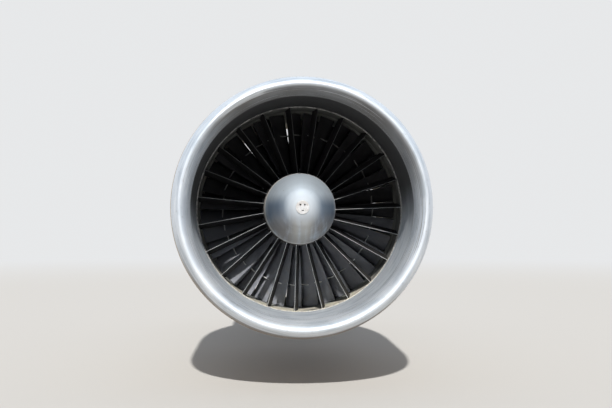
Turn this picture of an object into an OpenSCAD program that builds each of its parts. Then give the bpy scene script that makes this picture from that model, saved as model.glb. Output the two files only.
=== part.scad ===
// Jet engine in its pod: a two-stage fan ahead of a twin-spool core, with an inlet cowl,
// hinged fan cowl doors and bolted core cowls. Sizes are in millimetres.
// The engine is drawn along Z, with stations that run aft from the inlet flange. The last
// step turns it so that the inlet faces -Y, up is +Z and the front hanger's bore is the origin.

/* [Inlet cowl] */
// Radius of the straight inlet duct and of the fan case
duct_r = 648; // [630:1:660]
// Distance from the inlet flange to the foremost edge of the lip
lip_reach = 560; // [500:5:620]
// Radius of the lip's foremost edge
lip_r = 700; // [690:1:715]
// Depth of the rounded inner side of the lip
throat_depth = 140; // [110:5:170]
// Depth of the polished skin on the outer side of the lip
lip_skin_depth = 120; // [95:5:135]
// Largest radius of the pod
pod_r = 785; // [775:1:800]
// Station where the pod starts to narrow again
pod_taper_at = 400; // [300:10:500]
// Distance ahead of the inlet flange where the pod reaches its largest radius
pod_full_at = 100; // [60:5:160]
// Thickness of the cowl skins
skin_t = 3; // [2:0.5:4]
// Thickness of the inlet barrel
barrel_t = 14; // [10:1:18]
// Thickness of the frames inside the cowl
frame_t = 4; // [3:0.5:6]
// Radius of the anti-icing air tube inside the lip
ice_tube_r = 14; // [10:1:16]

/* [Nose bullet and guide vanes] */
// Radius of the fixed hub behind the nose bullet
hub_r = 228; // [222:1:232]
// Distance by which the bullet's edge stands inside the hub
bullet_step = 4; // [2:0.5:6]
// Length of the nose bullet
bullet_len = 395; // [340:5:440]
// Radius of the flat cap on the bullet's tip
cap_r = 36; // [30:1:44]
// Radius of the two air holes in the cap
cap_hole_r = 5; // [3:0.5:7]
// Length of the inlet case
inlet_case_len = 190; // [175:5:215]
// Number of inlet guide vanes
igv_count = 23; // [19:1:27]
// Chord of an inlet guide vane
igv_chord = 148; // [130:2:156]
// Thickness of an inlet guide vane
igv_t = 13; // [9:1:16]
// Angle by which a guide vane leans towards the fan's turning
igv_lean = 11; // [6:1:16]
// Clock angle of the first inlet guide vane
igv_first = 2.4; // [0:0.2:8]

/* [Fan] */
// Radius of the rotor platform where the fan begins
fan_hub_front_r = 236; // [234:1:242]
// Radius of the rotor platform behind the second stage
fan_hub_rear_r = 304; // [298:1:310]
// Length of the first fan bay
fan1_len = 165; // [150:5:185]
// Chord of a first-stage blade at its root
fan1_root_chord = 132; // [116:2:136]
// Chord of a first-stage blade at its tip
fan1_tip_chord = 116; // [104:2:124]
// Number of blades in the first stage
fan1_count = 35; // [29:1:39]
// Length of the bay of fixed vanes between the stages
stator_len = 95; // [90:5:110]
// Number of fixed vanes between the stages
stator_count = 40; // [30:1:44]
// Chord of a fixed vane between the stages
stator_chord = 70; // [60:2:76]
// Length of the second fan bay
fan2_len = 120; // [110:5:135]
// Chord of a second-stage blade at its root
fan2_root_chord = 92; // [84:2:96]
// Chord of a second-stage blade at its tip
fan2_tip_chord = 84; // [76:2:92]
// Number of blades in the second stage
fan2_count = 32; // [26:1:36]
// Gap between the blade tips and the case
tip_gap = 4; // [3:0.5:6]
// Radius of the mid-span shrouds
snubber_r = 496; // [470:2:520]
// Width of the mid-span shrouds along the engine
snubber_w = 34; // [26:1:40]
// Thickness of the mid-span shrouds
snubber_t = 9; // [6:1:12]
// Thickness of the fan case
fan_case_t = 10; // [8:1:14]
// Height of the fan case flanges above the duct wall
duct_flange_h = 42; // [36:1:48]
// Thickness of a rim of a rotor disc
rim_t = 20; // [16:1:24]

/* [Fan frame and bypass duct] */
// Length of the fan frame
frame_len = 195; // [185:5:215]
// Outer radius of the splitter ring
splitter_r = 480; // [474:1:488]
// Number of fan exit vanes
exit_vane_count = 42; // [32:1:46]
// Chord of a fan exit vane
exit_vane_chord = 76; // [66:2:80]
// Chord of a frame strut
strut_chord = 74; // [62:2:80]
// Thickness of a frame strut
strut_t = 16; // [12:1:20]
// Number of struts in the fan frame
frame_strut_count = 8; // [6:1:10]
// Length of the fan cowl doors
fan_cowl_len = 1000; // [985:5:1030]
// Length of the fan nozzle
fan_nozzle_len = 250; // [220:5:280]
// Radius of the bypass duct where the fan nozzle begins
duct_end_r = 676; // [670:1:682]
// Inner radius of the fan nozzle's rear edge
fan_nozzle_r = 664; // [654:1:670]

/* [Compressors] */
// Number of low-pressure stages
lpc_stages = 6; // [4:1:7]
// Length of one low-pressure stage
lpc_pitch = 62; // [58:1:66]
// Case radius at the first low-pressure stage
lpc_front_r = 452; // [446:1:454]
// Case radius at the last low-pressure stage
lpc_rear_r = 396; // [390:1:404]
// Drum radius at the first low-pressure stage
lpc_drum_front_r = 338; // [330:1:344]
// Drum radius at the last low-pressure stage
lpc_drum_rear_r = 334; // [326:1:340]
// Number of blades, and of vanes, in a low-pressure stage
lpc_count = 24; // [20:1:30]
// Length of the intermediate case
mid_len = 124; // [116:2:132]
// Number of high-pressure stages
hpc_stages = 7; // [5:1:8]
// Length of one high-pressure stage
hpc_pitch = 60; // [56:1:64]
// Case radius at the first high-pressure stage
hpc_front_r = 334; // [328:1:340]
// Case radius at the last high-pressure stage
hpc_rear_r = 304; // [300:1:310]
// Drum radius at the first high-pressure stage
hpc_drum_front_r = 250; // [244:1:256]
// Drum radius at the last high-pressure stage
hpc_drum_rear_r = 266; // [260:1:270]
// Number of blades, and of vanes, in a high-pressure stage
hpc_count = 24; // [20:1:30]

/* [Combustion section] */
// Length of the diffuser case
diffuser_len = 190; // [170:5:210]
// Length of the combustion case
burner_len = 520; // [490:5:550]
// Inner radius of the combustion case
burner_r = 482; // [476:1:490]
// Number of combustion cans
can_count = 8; // [6:1:9]
// Radius of a combustion can
can_r = 88; // [80:1:94]
// Radius of the ring on which the cans stand
can_ring_r = 338; // [332:1:344]
// Radius of the inner combustion case
inner_case_r = 196; // [186:1:204]

/* [Turbines and exhaust] */
// Length of the high-pressure turbine
hpt_len = 124; // [114:2:134]
// Number of low-pressure turbine stages
lpt_stages = 3; // [2:1:4]
// Length of one low-pressure turbine stage
lpt_pitch = 110; // [100:2:120]
// Case radius at the high-pressure turbine
hpt_case_r = 406; // [402:1:412]
// Case radius at the last turbine stage
lpt_case_r = 464; // [456:1:468]
// Hub radius at the high-pressure turbine
hpt_hub_r = 300; // [294:1:306]
// Hub radius at the last turbine stage
lpt_hub_r = 278; // [270:1:286]
// Number of blades, and of vanes, in a turbine stage
turbine_count = 32; // [24:1:38]
// Length of the exhaust case
exhaust_len = 200; // [185:5:215]
// Number of struts in the exhaust case
exhaust_strut_count = 8; // [6:1:10]
// Length of the exhaust nozzle
nozzle_len = 300; // [270:5:330]
// Inner radius of the exhaust nozzle's rear edge
nozzle_r = 340; // [325:1:355]
// Length of the tail cone
cone_len = 270; // [220:10:290]
// Radius of the tail cone where it begins
cone_r = 256; // [248:1:262]
// Inner radius of the exhaust case's rear end
exhaust_r = 452; // [446:1:456]

/* [Core casings] */
// Thickness of the core's cases
case_t = 8; // [6:1:10]
// Height of a case flange above its case
flange_h = 20; // [18:1:24]
// Thickness of a case flange
flange_t = 10; // [8:1:12]
// Largest radius of the core cowl
core_cowl_r = 560; // [552:1:570]
// Outer radius of the core cowl's rear edge
core_cowl_end_r = 500; // [496:1:506]
// Number of bolts round the inlet flange
inlet_bolt_count = 24; // [16:2:32]
// Number of bolts round each hot case flange
case_bolt_count = 20; // [12:2:28]
// Radius of a flange bolt's shank
bolt_r = 5; // [4:0.5:6]

/* [Shafts and bearings] */
// Outer radius of the low-pressure shaft
low_shaft_r = 60; // [56:1:64]
// Bore radius of the low-pressure shaft
low_bore_r = 46; // [40:1:50]
// Inner radius of the high-pressure shaft
high_bore_r = 78; // [74:1:80]
// Outer radius of the high-pressure shaft
high_shaft_r = 92; // [88:1:94]
// Height of a bearing's inner race
race_t = 14; // [12:1:16]
// Diameter of a bearing roller
roller_d = 16; // [14:1:18]
// Number of rollers in a bearing
roller_count = 16; // [10:1:18]
// Width of a bearing
bearing_w = 26; // [22:1:30]

/* [Cowl doors and latches] */
// Half angle of the upper cowl beam, from the vertical
beam_half_angle = 14; // [11:0.5:17]
// Thickness of the door's skin
door_t = 4; // [3:0.5:6]
// Depth of the door's ribs
rib_h = 24; // [16:1:30]
// Width of the seam between cowl parts
seam = 4; // [3:0.5:5]
// Radius of a hinge knuckle
knuckle_r = 10; // [9:0.5:11]
// Radius of a hinge pin
hinge_pin_r = 4; // [3:0.5:5]
// Length of a hinge knuckle
knuckle_len = 36; // [28:1:44]
// Angle from a latch's pivot to the end of its handle
latch_angle = 10; // [8:0.5:12]
// Width of a latch handle
latch_w = 34; // [26:1:40]

/* [Hangers and accessories] */
// Height of the front hanger's bore above the engine's axis
front_hanger_h = 850; // [840:5:880]
// Radius of the front hanger's bore
front_bore_r = 25; // [20:1:28]
// Height of the rear hanger's bore above the engine's axis
rear_hanger_h = 610; // [600:5:640]
// Radius of the rear hanger's bore
rear_bore_r = 20; // [16:1:22]
// Width of a hanger
hanger_w = 80; // [70:2:96]
// Outer radius of the accessory gearbox
gearbox_r = 534; // [526:1:538]
// Length of the accessory gearbox
gearbox_len = 150; // [130:5:165]
// Radius of the starter's body
starter_r = 46; // [38:1:48]
// Radius of the fuel pump's body
pump_r = 40; // [34:1:46]
// Length of the oil tank
tank_len = 300; // [240:10:330]

/* [Hidden] */
$fn = 180;

// Clearances: a seat within one body, the flat foot of a twisted blade over its round platform,
// a cowl over the land behind it, a turning fit, and a gap past a moving piece
seat = 0.3;
root_gap = 0.8;
land_gap = 1;
turn_gap = 0.05;
clear = 3;
one = 1;

// Stations of the joints between the engine's cases
s_fan1 = inlet_case_len;
s_stator = s_fan1 + fan1_len;
s_fan2 = s_stator + stator_len;
s_frame = s_fan2 + fan2_len;
s_lpc = s_frame + frame_len;
s_mid = s_lpc + lpc_stages * lpc_pitch;
s_hpc = s_mid + mid_len;
s_diffuser = s_hpc + hpc_stages * hpc_pitch;
s_burner = s_diffuser + diffuser_len;
s_hpt = s_burner + burner_len;
s_lpt = s_hpt + hpt_len;
s_exhaust = s_lpt + lpt_stages * lpt_pitch;
s_nozzle = s_exhaust + exhaust_len;
s_duct_end = fan_cowl_len;
s_pod_end = fan_cowl_len + fan_nozzle_len;
s_front_hanger = s_frame + frame_len / 2;
s_rear_hanger = s_lpt + lpt_pitch;

// Radii that follow from the driving sizes
duct_flange_r = duct_r + duct_flange_h;
duct_bolt_r = duct_r + duct_flange_h * 0.68;
cowl_land_r = pod_r - max(skin_t, door_t) - seat;
fan_nozzle_edge = 4;
pod_end_r = fan_nozzle_r + fan_nozzle_edge;
splitter_nose = s_frame + 8;
splitter_in_r = lpc_front_r;
tip_r = duct_r - tip_gap;

// Radius of the pod's outer surface at a station
function pod_r_at(s) =
  s < -pod_full_at
  ? lip_r + (pod_r - lip_r) * sqrt(1 - pow((s + pod_full_at) / (lip_reach - pod_full_at), 2))
  : s < pod_taper_at ? pod_r
  : pod_r - (pod_r - pod_end_r) * pow((s - pod_taper_at) / (s_pod_end - pod_taper_at), 3);

// Smooth step from radius a at station s0 to radius b at station s1
function eased(s, s0, s1, a, b) =
  let (t = min(1, max(0, (s - s0) / (s1 - s0)))) a + (b - a) * t * t * (3 - 2 * t);

// Radius of the core cowl's outer surface at a station
function core_r_at(s) =
  s < s_pod_end ? eased(s, s_lpc, s_pod_end, splitter_r, core_cowl_r)
  : eased(s, s_burner, s_nozzle, core_cowl_r, core_cowl_end_r);

// Radius of the inner wall of the flow path through the fan
function hub_r_at(s) = lookup(s, [[0, hub_r], [s_fan1 - 20, hub_r], [s_fan1, fan_hub_front_r],
  [s_frame, fan_hub_rear_r], [s_lpc, lpc_drum_front_r]]);

function spread(a, b, n) = [for (i = [0:n]) a + (b - a) * i / n];
function backwards(list) = [for (i = [len(list) - 1:-1:0]) list[i]];
function mix(a, b, t) = a + (b - a) * t;

// Points beside a line of [radius, station] points, to the left of its direction
function left_of(line, t) = [for (i = [0:len(line) - 1])
  let (a = line[max(i - 1, 0)], b = line[min(i + 1, len(line) - 1)], d = (b - a) / norm(b - a))
  line[i] + t * [-d[1], d[0]]];

// Section of a skin of thickness t that hangs inside a surface given by its radii
function skin_section(stations, radii, t) = concat(
  [for (i = [0:len(stations) - 1]) [radii[i], stations[i]]],
  [for (i = [len(stations) - 1:-1:0]) [radii[i] - t, stations[i]]]);
function pod_skin(s0, s1, t, n) =
  let (st = spread(s0, s1, n)) skin_section(st, [for (s = st) pod_r_at(s)], t);
function core_skin(s0, s1, t, n) =
  let (st = spread(s0, s1, n)) skin_section(st, [for (s = st) core_r_at(s)], t);

// Section of a wall between two radii lines, each given as [radius, station] pairs
function wall_section(inner, outer) = concat(inner, backwards(outer));

// Outline of a thin cambered blade with its chord along X, leading edge at +X
function foil(chord, t, bow, n = 5) = concat(
  [for (i = [0:n]) let (u = i / n)
    [chord * (0.5 - u), 4 * bow * u * (1 - u) + t / 2 * sqrt(1 - pow(2 * u - 1, 2))]],
  [for (i = [n - 1:-1:1]) let (u = i / n)
    [chord * (0.5 - u), 4 * bow * u * (1 - u) - t / 2 * sqrt(1 - pow(2 * u - 1, 2))]]);
function turned(p, a) = [p[0] * cos(a) - p[1] * sin(a), p[0] * sin(a) + p[1] * cos(a)];

// Places a piece at a clock angle, counted anticlockwise from +X as seen from the front
module clock(a) rotate([0, 0, -a]) children();
module ring_of(n, first = 0) for (i = [0:n - 1]) clock(first + i * 360 / n) children();
module lathe(section) rotate_extrude() polygon(section);
module sector(a0, a1) clock(a1) rotate_extrude(angle = a1 - a0) children();
module band(r0, r1, s0, s1) translate([r0, s0]) square([r1 - r0, s1 - s0]);

// A radial prism with a blade's outline; lean turns its trailing edge towards the spin
module radial_blade(r0, r1, s, chord, t, bow, lean, n = 5)
  translate([r0, 0, s]) rotate([0, 90, 0]) linear_extrude(r1 - r0)
    rotate(lean) polygon(foil(chord, t, bow, n));
module blade_ring(n, r0, r1, s, chord, t, bow, lean)
  ring_of(n) radial_blade(r0, r1, s, chord, t, bow, lean, 3);

// A body lofted through outlines of the same number of points. Its two sides are split along
// the same diagonals, so that a thin twisted body keeps its thickness.
module loft(outlines) {
  m = len(outlines[0]);
  last = len(outlines) - 1;
  sides = [for (k = [0:last - 1]) for (i = [0:m - 1])
    let (j = (i + 1) % m, a = k * m + i, b = k * m + j, c = a + m, d = b + m)
    each (i < m / 2 ? [[a, c, b], [b, c, d]] : [[a, c, d], [a, d, b]])];
  first_end = [for (i = [1:m - 2]) [0, i, i + 1]];
  last_end = [for (i = [1:m - 2]) [last * m, last * m + i + 1, last * m + i]];
  polyhedron([for (outline = outlines) each outline], concat(sides, first_end, last_end));
}

// A twisted blade through rows of [share of span, chord, thickness, bow, lean]
module twisted_blade(rows, s_blade, n) loft([for (row = rows) [
  for (q = foil(row[1], row[2], row[3], n))
    let (w = turned(q, row[4]), s = s_blade - w[0],
      r = mix(hub_r_at(s) + root_gap, tip_r, row[0]), a = w[1] / r * 180 / PI)
    [r * cos(a), r * sin(a), s]]]);

// Lands of a compressor or turbine: [start, end, radius] of each stage
function stage_lands(s0, pitch, n, r0, r1) =
  [for (i = [0:n - 1]) [s0 + i * pitch, s0 + (i + 1) * pitch, mix(r0, r1, n > 1 ? i / (n - 1) : 0)]];

// Section of a stage case: stepped lands inside and a cone outside
function stage_case(lands, t) =
  let (last = len(lands) - 1, step = abs(lands[0][2] - lands[last][2]) / max(last, 1))
  concat([for (l = lands) each [[l[2], l[0]], [l[2], l[1]]]],
    [[lands[last][2] + t + step, lands[last][1]], [lands[0][2] + t + step, lands[0][0]]]);
function stage_case_r(lands, t) = lands[0][2] + t
  + abs(lands[0][2] - lands[len(lands) - 1][2]) / max(len(lands) - 1, 1);

// Section of a drum with a disc under each land; the end discs reach down to the shaft
function drum(lands, wall, web, bore, shaft) = concat(
  [for (l = lands) each [[l[2], l[0]], [l[2], l[1]]]],
  [for (i = [len(lands) - 1:-1:0]) let (l = lands[i], mid = (l[0] + l[1]) / 2,
      foot = i == 0 || i == len(lands) - 1 ? shaft : bore)
    each [[l[2] - wall, i == len(lands) - 1 ? l[1] : mid + web], [l[2] - wall, mid + web / 2],
      [foot, mid + web / 2], [foot, mid - web / 2], [l[2] - wall, mid - web / 2],
      [l[2] - wall, i == 0 ? l[0] : mid - web]]]);

// Inlet cowl

// Line of the lip from the throat round its foremost edge to the end of the polished skin
lip_end_angle = acos((lip_reach - lip_skin_depth - pod_full_at) / (lip_reach - pod_full_at));
lip_line = concat(
  [for (a = spread(0, 84, 12)) [lip_r - (lip_r - duct_r) * cos(a),
    throat_depth - lip_reach - throat_depth * sin(a)]],
  [for (a = spread(0, lip_end_angle, 14)) [lip_r + (pod_r - lip_r) * sin(a),
    -pod_full_at - (lip_reach - pod_full_at) * cos(a)]]);
lip_last = len(lip_line) - 1;
s_throat = throat_depth - lip_reach;
s_lip_end = lip_skin_depth - lip_reach;

module inlet_lip() color([0.86, 0.87, 0.89]) {
  inside = left_of(lip_line, skin_t);
  lathe(concat(lip_line, [[lip_line[lip_last][0] - skin_t, lip_line[lip_last][1]]],
    [for (i = [lip_last - 1:-1:1]) inside[i]], [[duct_r + skin_t, s_throat]]));
}

module inlet_barrel() color([0.80, 0.81, 0.83]) difference() {
  lathe([[duct_r, s_throat], [duct_r, 0], [duct_flange_r, 0], [duct_flange_r, -flange_t],
    [duct_r + barrel_t, -flange_t], [duct_r + barrel_t, s_throat]]);
  bolt_holes(inlet_bolt_count, duct_bolt_r, -flange_t, flange_t);
}

module nose_cowl_skin() color([0.70, 0.62, 0.50])
  lathe(pod_skin(s_lip_end, 0, skin_t, 16));

// The front bulkhead closes the lip; the rear one carries the land for the doors' front edge
module nose_cowl_frames() color([0.62, 0.66, 0.55]) {
  s_front = max(s_throat, s_lip_end) + frame_t;
  lip_in = duct_r + barrel_t + seat;
  flange = 22;
  lathe([[lip_in, s_front], [lip_in, s_front + flange], [lip_in + frame_t, s_front + flange],
    [lip_in + frame_t, s_front + frame_t],
    [pod_r_at(s_front + frame_t) - skin_t - seat - frame_t, s_front + frame_t],
    [pod_r_at(s_front + flange) - skin_t - seat - frame_t, s_front + flange],
    [pod_r_at(s_front + flange) - skin_t - seat, s_front + flange],
    [pod_r_at(s_front) - skin_t - seat, s_front]]);
  s_rear = -44;
  lathe([[lip_in, s_rear], [lip_in, s_rear + frame_t], [cowl_land_r - frame_t, s_rear + frame_t],
    [cowl_land_r - frame_t, land_len], [cowl_land_r, land_len], [cowl_land_r, s_rear]]);
}
land_len = 26;

// A pipe ring with drilled outlets, held off the front bulkhead by short posts
module anti_ice_tube() color([0.55, 0.55, 0.57]) {
  ring_r = lip_r;
  s_ring = s_throat - 52;
  post_r = 6;
  s_plate = max(s_throat, s_lip_end) + frame_t;
  rotate_extrude() translate([ring_r, s_ring]) circle(r = ice_tube_r, $fn = 32);
  ring_of(8, 22.5) translate([ring_r, 0, s_ring + ice_tube_r - 2])
    cylinder(r = post_r, h = s_plate - s_ring - ice_tube_r + 2 - seat, $fn = 24);
}

// Nose bullet, guide vanes and inlet case

bullet_base_r = hub_r - bullet_step;
bullet_tip_angle = asin(cap_r / bullet_base_r);
bullet_line = [for (a = spread(bullet_tip_angle, 90, 22))
  [bullet_base_r * sin(a), -bullet_len * cos(a)]];
s_bullet_tip = -bullet_len * cos(bullet_tip_angle);
bullet_lip_r = bullet_base_r - 28;

module nose_bullet() color([0.74, 0.76, 0.78]) {
  inside = left_of(bullet_line, skin_t);
  last = len(bullet_line) - 1;
  lathe(concat(bullet_line, [[bullet_lip_r, 0], [bullet_lip_r, -12], [inside[last - 1][0], -12]],
    [for (i = [last - 1:-1:1]) if (inside[i][1] < -14) inside[i]], [[cap_r, s_bullet_tip + skin_t]]));
}

module bullet_cap() color([0.62, 0.60, 0.56]) difference() {
  rim = 8;
  union() {
    translate([0, 0, s_bullet_tip - 3]) cylinder(r = cap_r + rim / 2, h = 3 - seat / 2);
    translate([0, 0, s_bullet_tip - 1]) cylinder(r = cap_r - seat, h = 12);
  }
  for (x = [-1, 1]) translate([x * cap_r * 0.36, -cap_r * 0.42, s_bullet_tip - 5])
    cylinder(r = cap_hole_r, h = 20, $fn = 24);
  translate([0, 0, s_bullet_tip - 5]) sector(250, 290)
    band(cap_r * 0.42, cap_r * 0.58, 0, 20);
}

module inlet_case() color([0.58, 0.58, 0.57]) difference() {
  lathe([[duct_r, 0], [duct_r, s_fan1], [duct_flange_r, s_fan1], [duct_flange_r, s_fan1 - flange_t],
    [duct_r + fan_case_t, s_fan1 - flange_t], [duct_r + fan_case_t, s_fan1 / 2 + 8],
    [duct_r + fan_case_t + 12, s_fan1 / 2 + 8], [duct_r + fan_case_t + 12, s_fan1 / 2 - 8],
    [duct_r + fan_case_t, s_fan1 / 2 - 8], [duct_r + fan_case_t, flange_t],
    [duct_flange_r, flange_t], [duct_flange_r, 0]]);
  bolt_holes(inlet_bolt_count, duct_bolt_r, 0, flange_t);
}

s_igv = igv_chord / 2 + 10;
module guide_vanes() color([0.48, 0.48, 0.48])
  ring_of(igv_count, igv_first) radial_blade(hub_r + seat, duct_r - 2 * seat, s_igv, igv_chord,
    igv_t, 5, igv_lean, 6);

module inlet_hub() color([0.5, 0.5, 0.5]) rotate_extrude() {
  wall = 8;
  polygon(concat([[hub_r, 0], [hub_r, s_fan1 - 20], [fan_hub_front_r - 1, s_fan1 - clear],
    [fan_hub_front_r - 1 - wall, s_fan1 - clear], [hub_r - wall, s_fan1 - 20], [hub_r - wall, 8],
    [bullet_lip_r, 8], [bullet_lip_r, 0]]));
  band(low_race_out + seat, hub_r - wall / 2, s_low_front - 4, s_low_front + 4);
  band(low_race_out + seat, low_race_out + seat + 12, s_low_front - bearing_w / 2,
    s_low_front + bearing_w / 2);
}

// Flange bolts: a hexagon head, a shank through both flanges and a hexagon nut
module bolt_holes(n, ring_r, s, h)
  ring_of(n, 180 / n) translate([ring_r, 0, s - one])
    cylinder(r = bolt_r + seat, h = h + 2 * one, $fn = 24);
module bolt_ring(n, ring_r, s, grip) ring_of(n, 180 / n) translate([ring_r, 0, s]) {
  head_r = bolt_r * 1.9;
  head_h = bolt_r * 1.4;
  translate([0, 0, -head_h]) cylinder(r = head_r, h = head_h, $fn = 6);
  translate([0, 0, -one]) cylinder(r = bolt_r, h = grip + 2 * one, $fn = 24);
  translate([0, 0, grip]) cylinder(r = head_r, h = head_h, $fn = 6);
}

module inlet_bolts() color([0.45, 0.42, 0.36])
  bolt_ring(inlet_bolt_count, duct_bolt_r, -flange_t, 2 * flange_t);

// Fan

module fan_case() color([0.52, 0.54, 0.50]) lathe([[duct_r, s_fan1], [duct_r, s_frame],
  [duct_flange_r, s_frame], [duct_flange_r, s_frame - flange_t],
  [duct_r + fan_case_t, s_frame - flange_t], [duct_r + fan_case_t, s_fan2 + 10],
  [duct_r + 2 * fan_case_t, s_fan2], [duct_r + 2 * fan_case_t, s_stator + 10],
  [duct_flange_r - 8, s_stator + 10], [duct_flange_r - 8, s_stator - 10],
  [duct_r + 2 * fan_case_t, s_stator - 10], [duct_r + 2 * fan_case_t, s_fan1 + 20],
  [duct_r + fan_case_t, s_fan1 + flange_t], [duct_flange_r, s_fan1 + flange_t],
  [duct_flange_r, s_fan1]]);

// First-stage blade rows: share of span, chord, thickness, bow, lean against the spin
fan1_rows = [for (q = [[0, 11, 12, -16], [0.33, 8.5, 9, -32], [0.68, 6, 5, -48],
  [1, 3.6, 2.5, -60]])
  [q[0], mix(fan1_root_chord, fan1_tip_chord, q[0]), q[1], q[2], q[3]]];
s_fan1_blade = (s_fan1 + s_stator) / 2;

// Each blade carries half of the mid-span shroud on either side, bent to a shallow V
module snubber() {
  end_angle = 180 / fan1_count - seat / snubber_r * 90 / PI;
  rise = 5;
  loft([for (k = [1, 0, -1]) [for (q = foil(snubber_w, snubber_t, 0, 3))
    let (r = snubber_r + q[1] + (k == 0 ? rise : 0))
    [r * cos(k * end_angle), r * sin(k * end_angle), s_fan1_blade - q[0]]]]);
}

module fan_blades_1() color([0.30, 0.30, 0.31]) ring_of(fan1_count) {
  twisted_blade(fan1_rows, s_fan1_blade, 4);
  snubber();
}

fan_web = 24;
module fan_disc(s0, s1) {
  web = fan_web;
  mid = (s0 + s1) / 2;
  hub = low_shaft_r + 40;
  lathe([[hub_r_at(s0), s0], [hub_r_at(s1), s1], [hub_r_at(s1) - rim_t, s1],
    [hub_r_at(mid) - rim_t - 4, mid + web], [hub_r_at(mid) - rim_t - 16, mid + web / 2],
    [hub, mid + web / 2], [hub - 10, mid + web * 1.6], [low_shaft_r + seat, mid + web * 1.6],
    [low_shaft_r + seat, mid - web * 1.6], [hub - 10, mid - web * 1.6], [hub, mid - web / 2],
    [hub_r_at(mid) - rim_t - 16, mid - web / 2], [hub_r_at(mid) - rim_t - 4, mid - web],
    [hub_r_at(s0) - rim_t, s0]]);
}

// Two discs, and the spacer drum bolted between them
module fan_discs() color([0.42, 0.43, 0.45]) {
  spacer_r = fan_hub_front_r - 40;
  s_a = (s_fan1 + s_stator - clear + fan_web) / 2;
  s_b = (s_fan2 + s_frame + clear - fan_web) / 2;
  fan_disc(s_fan1, s_stator - clear);
  fan_disc(s_fan2 + clear, s_frame);
  lathe([[spacer_r, s_a], [spacer_r, s_b], [spacer_r - 12, s_b], [spacer_r - 12, s_a]]);
}

// Fixed vanes, with an inner ring that seals round the spacer
module fan_stators() color([0.46, 0.46, 0.47]) {
  mid = (s_stator + s_fan2) / 2;
  root_r = hub_r_at(s_fan2);
  blade_ring(stator_count, root_r + seat, duct_r - seat, mid, stator_chord, 7, -6, 16);
  lathe([[root_r, s_stator + clear], [root_r, s_fan2 - clear], [root_r - 10, s_fan2 - clear],
    [root_r - 10, s_stator + clear]]);
}

fan2_rows = [for (q = [[0, 9, 9, -24], [0.5, 6, 5, -44], [1, 3.4, 2.2, -58]])
  [q[0], mix(fan2_root_chord, fan2_tip_chord, q[0]), q[1], q[2], q[3]]];
module fan_blades_2() color([0.30, 0.30, 0.31])
  ring_of(fan2_count) twisted_blade(fan2_rows, (s_fan2 + s_frame) / 2, 5);

// Fan frame: an outer ring and the splitter ring, joined by struts across the bypass duct
module fan_frame() color([0.55, 0.57, 0.55]) {
  rotate_extrude() {
    polygon([[duct_r, s_frame], [duct_r, s_lpc], [duct_flange_r, s_lpc],
      [duct_flange_r, s_lpc - flange_t], [duct_r + fan_case_t, s_lpc - flange_t],
      [duct_r + fan_case_t, s_frame + flange_t], [duct_flange_r, s_frame + flange_t],
      [duct_flange_r, s_frame]]);
    polygon([[splitter_r - 8, splitter_nose], [splitter_r - 3, splitter_nose + 4],
      [splitter_r, splitter_nose + 16], [splitter_r, s_lpc], [splitter_in_r, s_lpc],
      [splitter_r - 14, splitter_nose + 16], [splitter_r - 11, splitter_nose + 4]]);
  }
  ring_of(frame_strut_count, 90)
    radial_blade(splitter_r - 6, duct_r + fan_case_t / 2, s_frame_strut, strut_chord, strut_t, 0, 0);
}
s_frame_strut = s_lpc - strut_chord / 2 - 8;

module exit_vanes() color([0.50, 0.50, 0.50])
  blade_ring(exit_vane_count, splitter_r + seat, duct_r - seat,
    splitter_nose + 16 + exit_vane_chord / 2, exit_vane_chord, 6, -8, 18);

module fan_duct() color([0.60, 0.60, 0.58]) {
  t = fan_case_t * 0.6;
  rear_h = 16;
  lathe([[duct_r, s_lpc], [duct_end_r, s_duct_end], [duct_end_r + t + rear_h, s_duct_end],
    [duct_end_r + t + rear_h, s_duct_end - flange_t / 2], [duct_end_r + t, s_duct_end - flange_t],
    [duct_r + t + 2, s_lpc + flange_t], [duct_flange_r, s_lpc + flange_t], [duct_flange_r, s_lpc]]);
}

// Fan nozzle: a hollow ring that closes the pod behind the doors, with a land for their rear edge
module fan_nozzle() color([0.66, 0.62, 0.55]) {
  outer = spread(s_duct_end, s_pod_end, 8);
  land_st = spread(s_duct_end - land_len, s_duct_end, 3);
  inner_n = 8;
  s_close = s_pod_end - 46;
  difference() {
    lathe(concat([for (s = spread(s_duct_end, s_pod_end, inner_n))
        [eased(s, s_duct_end, s_pod_end, duct_end_r, fan_nozzle_r), s]],
      backwards([for (s = outer) [pod_r_at(s), s]]),
      [[cowl_land_at(s_duct_end), s_duct_end]],
      backwards([for (s = land_st) [cowl_land_at(s), s]]),
      [for (s = land_st) [cowl_land_at(s) - frame_t, s]]));
    lathe(concat([for (s = spread(s_duct_end + frame_t, s_close, 6))
        [eased(s, s_duct_end, s_pod_end, duct_end_r, fan_nozzle_r) + skin_t, s]],
      backwards([for (s = spread(s_duct_end + frame_t, s_close, 6)) [pod_r_at(s) - skin_t, s]])));
  }
}
function cowl_land_at(s) = pod_r_at(s) - max(skin_t, door_t) - land_gap;

// Core cowl: a ring inside the bypass duct, then two panels that meet at top and bottom
module core_cowl_ring() color([0.62, 0.62, 0.60]) {
  n = 10;
  st = spread(s_lpc, s_pod_end, n);
  land = core_cowl_r - skin_t - seat;
  lathe(concat([for (s = st) [core_r_at(s), s]],
    [[core_cowl_r - skin_t, s_pod_end], [land, s_pod_end], [land, s_pod_end + land_len],
      [land - skin_t, s_pod_end + land_len], [land - skin_t, s_pod_end - land_len]],
    [for (i = [n - 2:-1:0]) [core_r_at(st[i]) - skin_t, st[i]]]));
}

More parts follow.
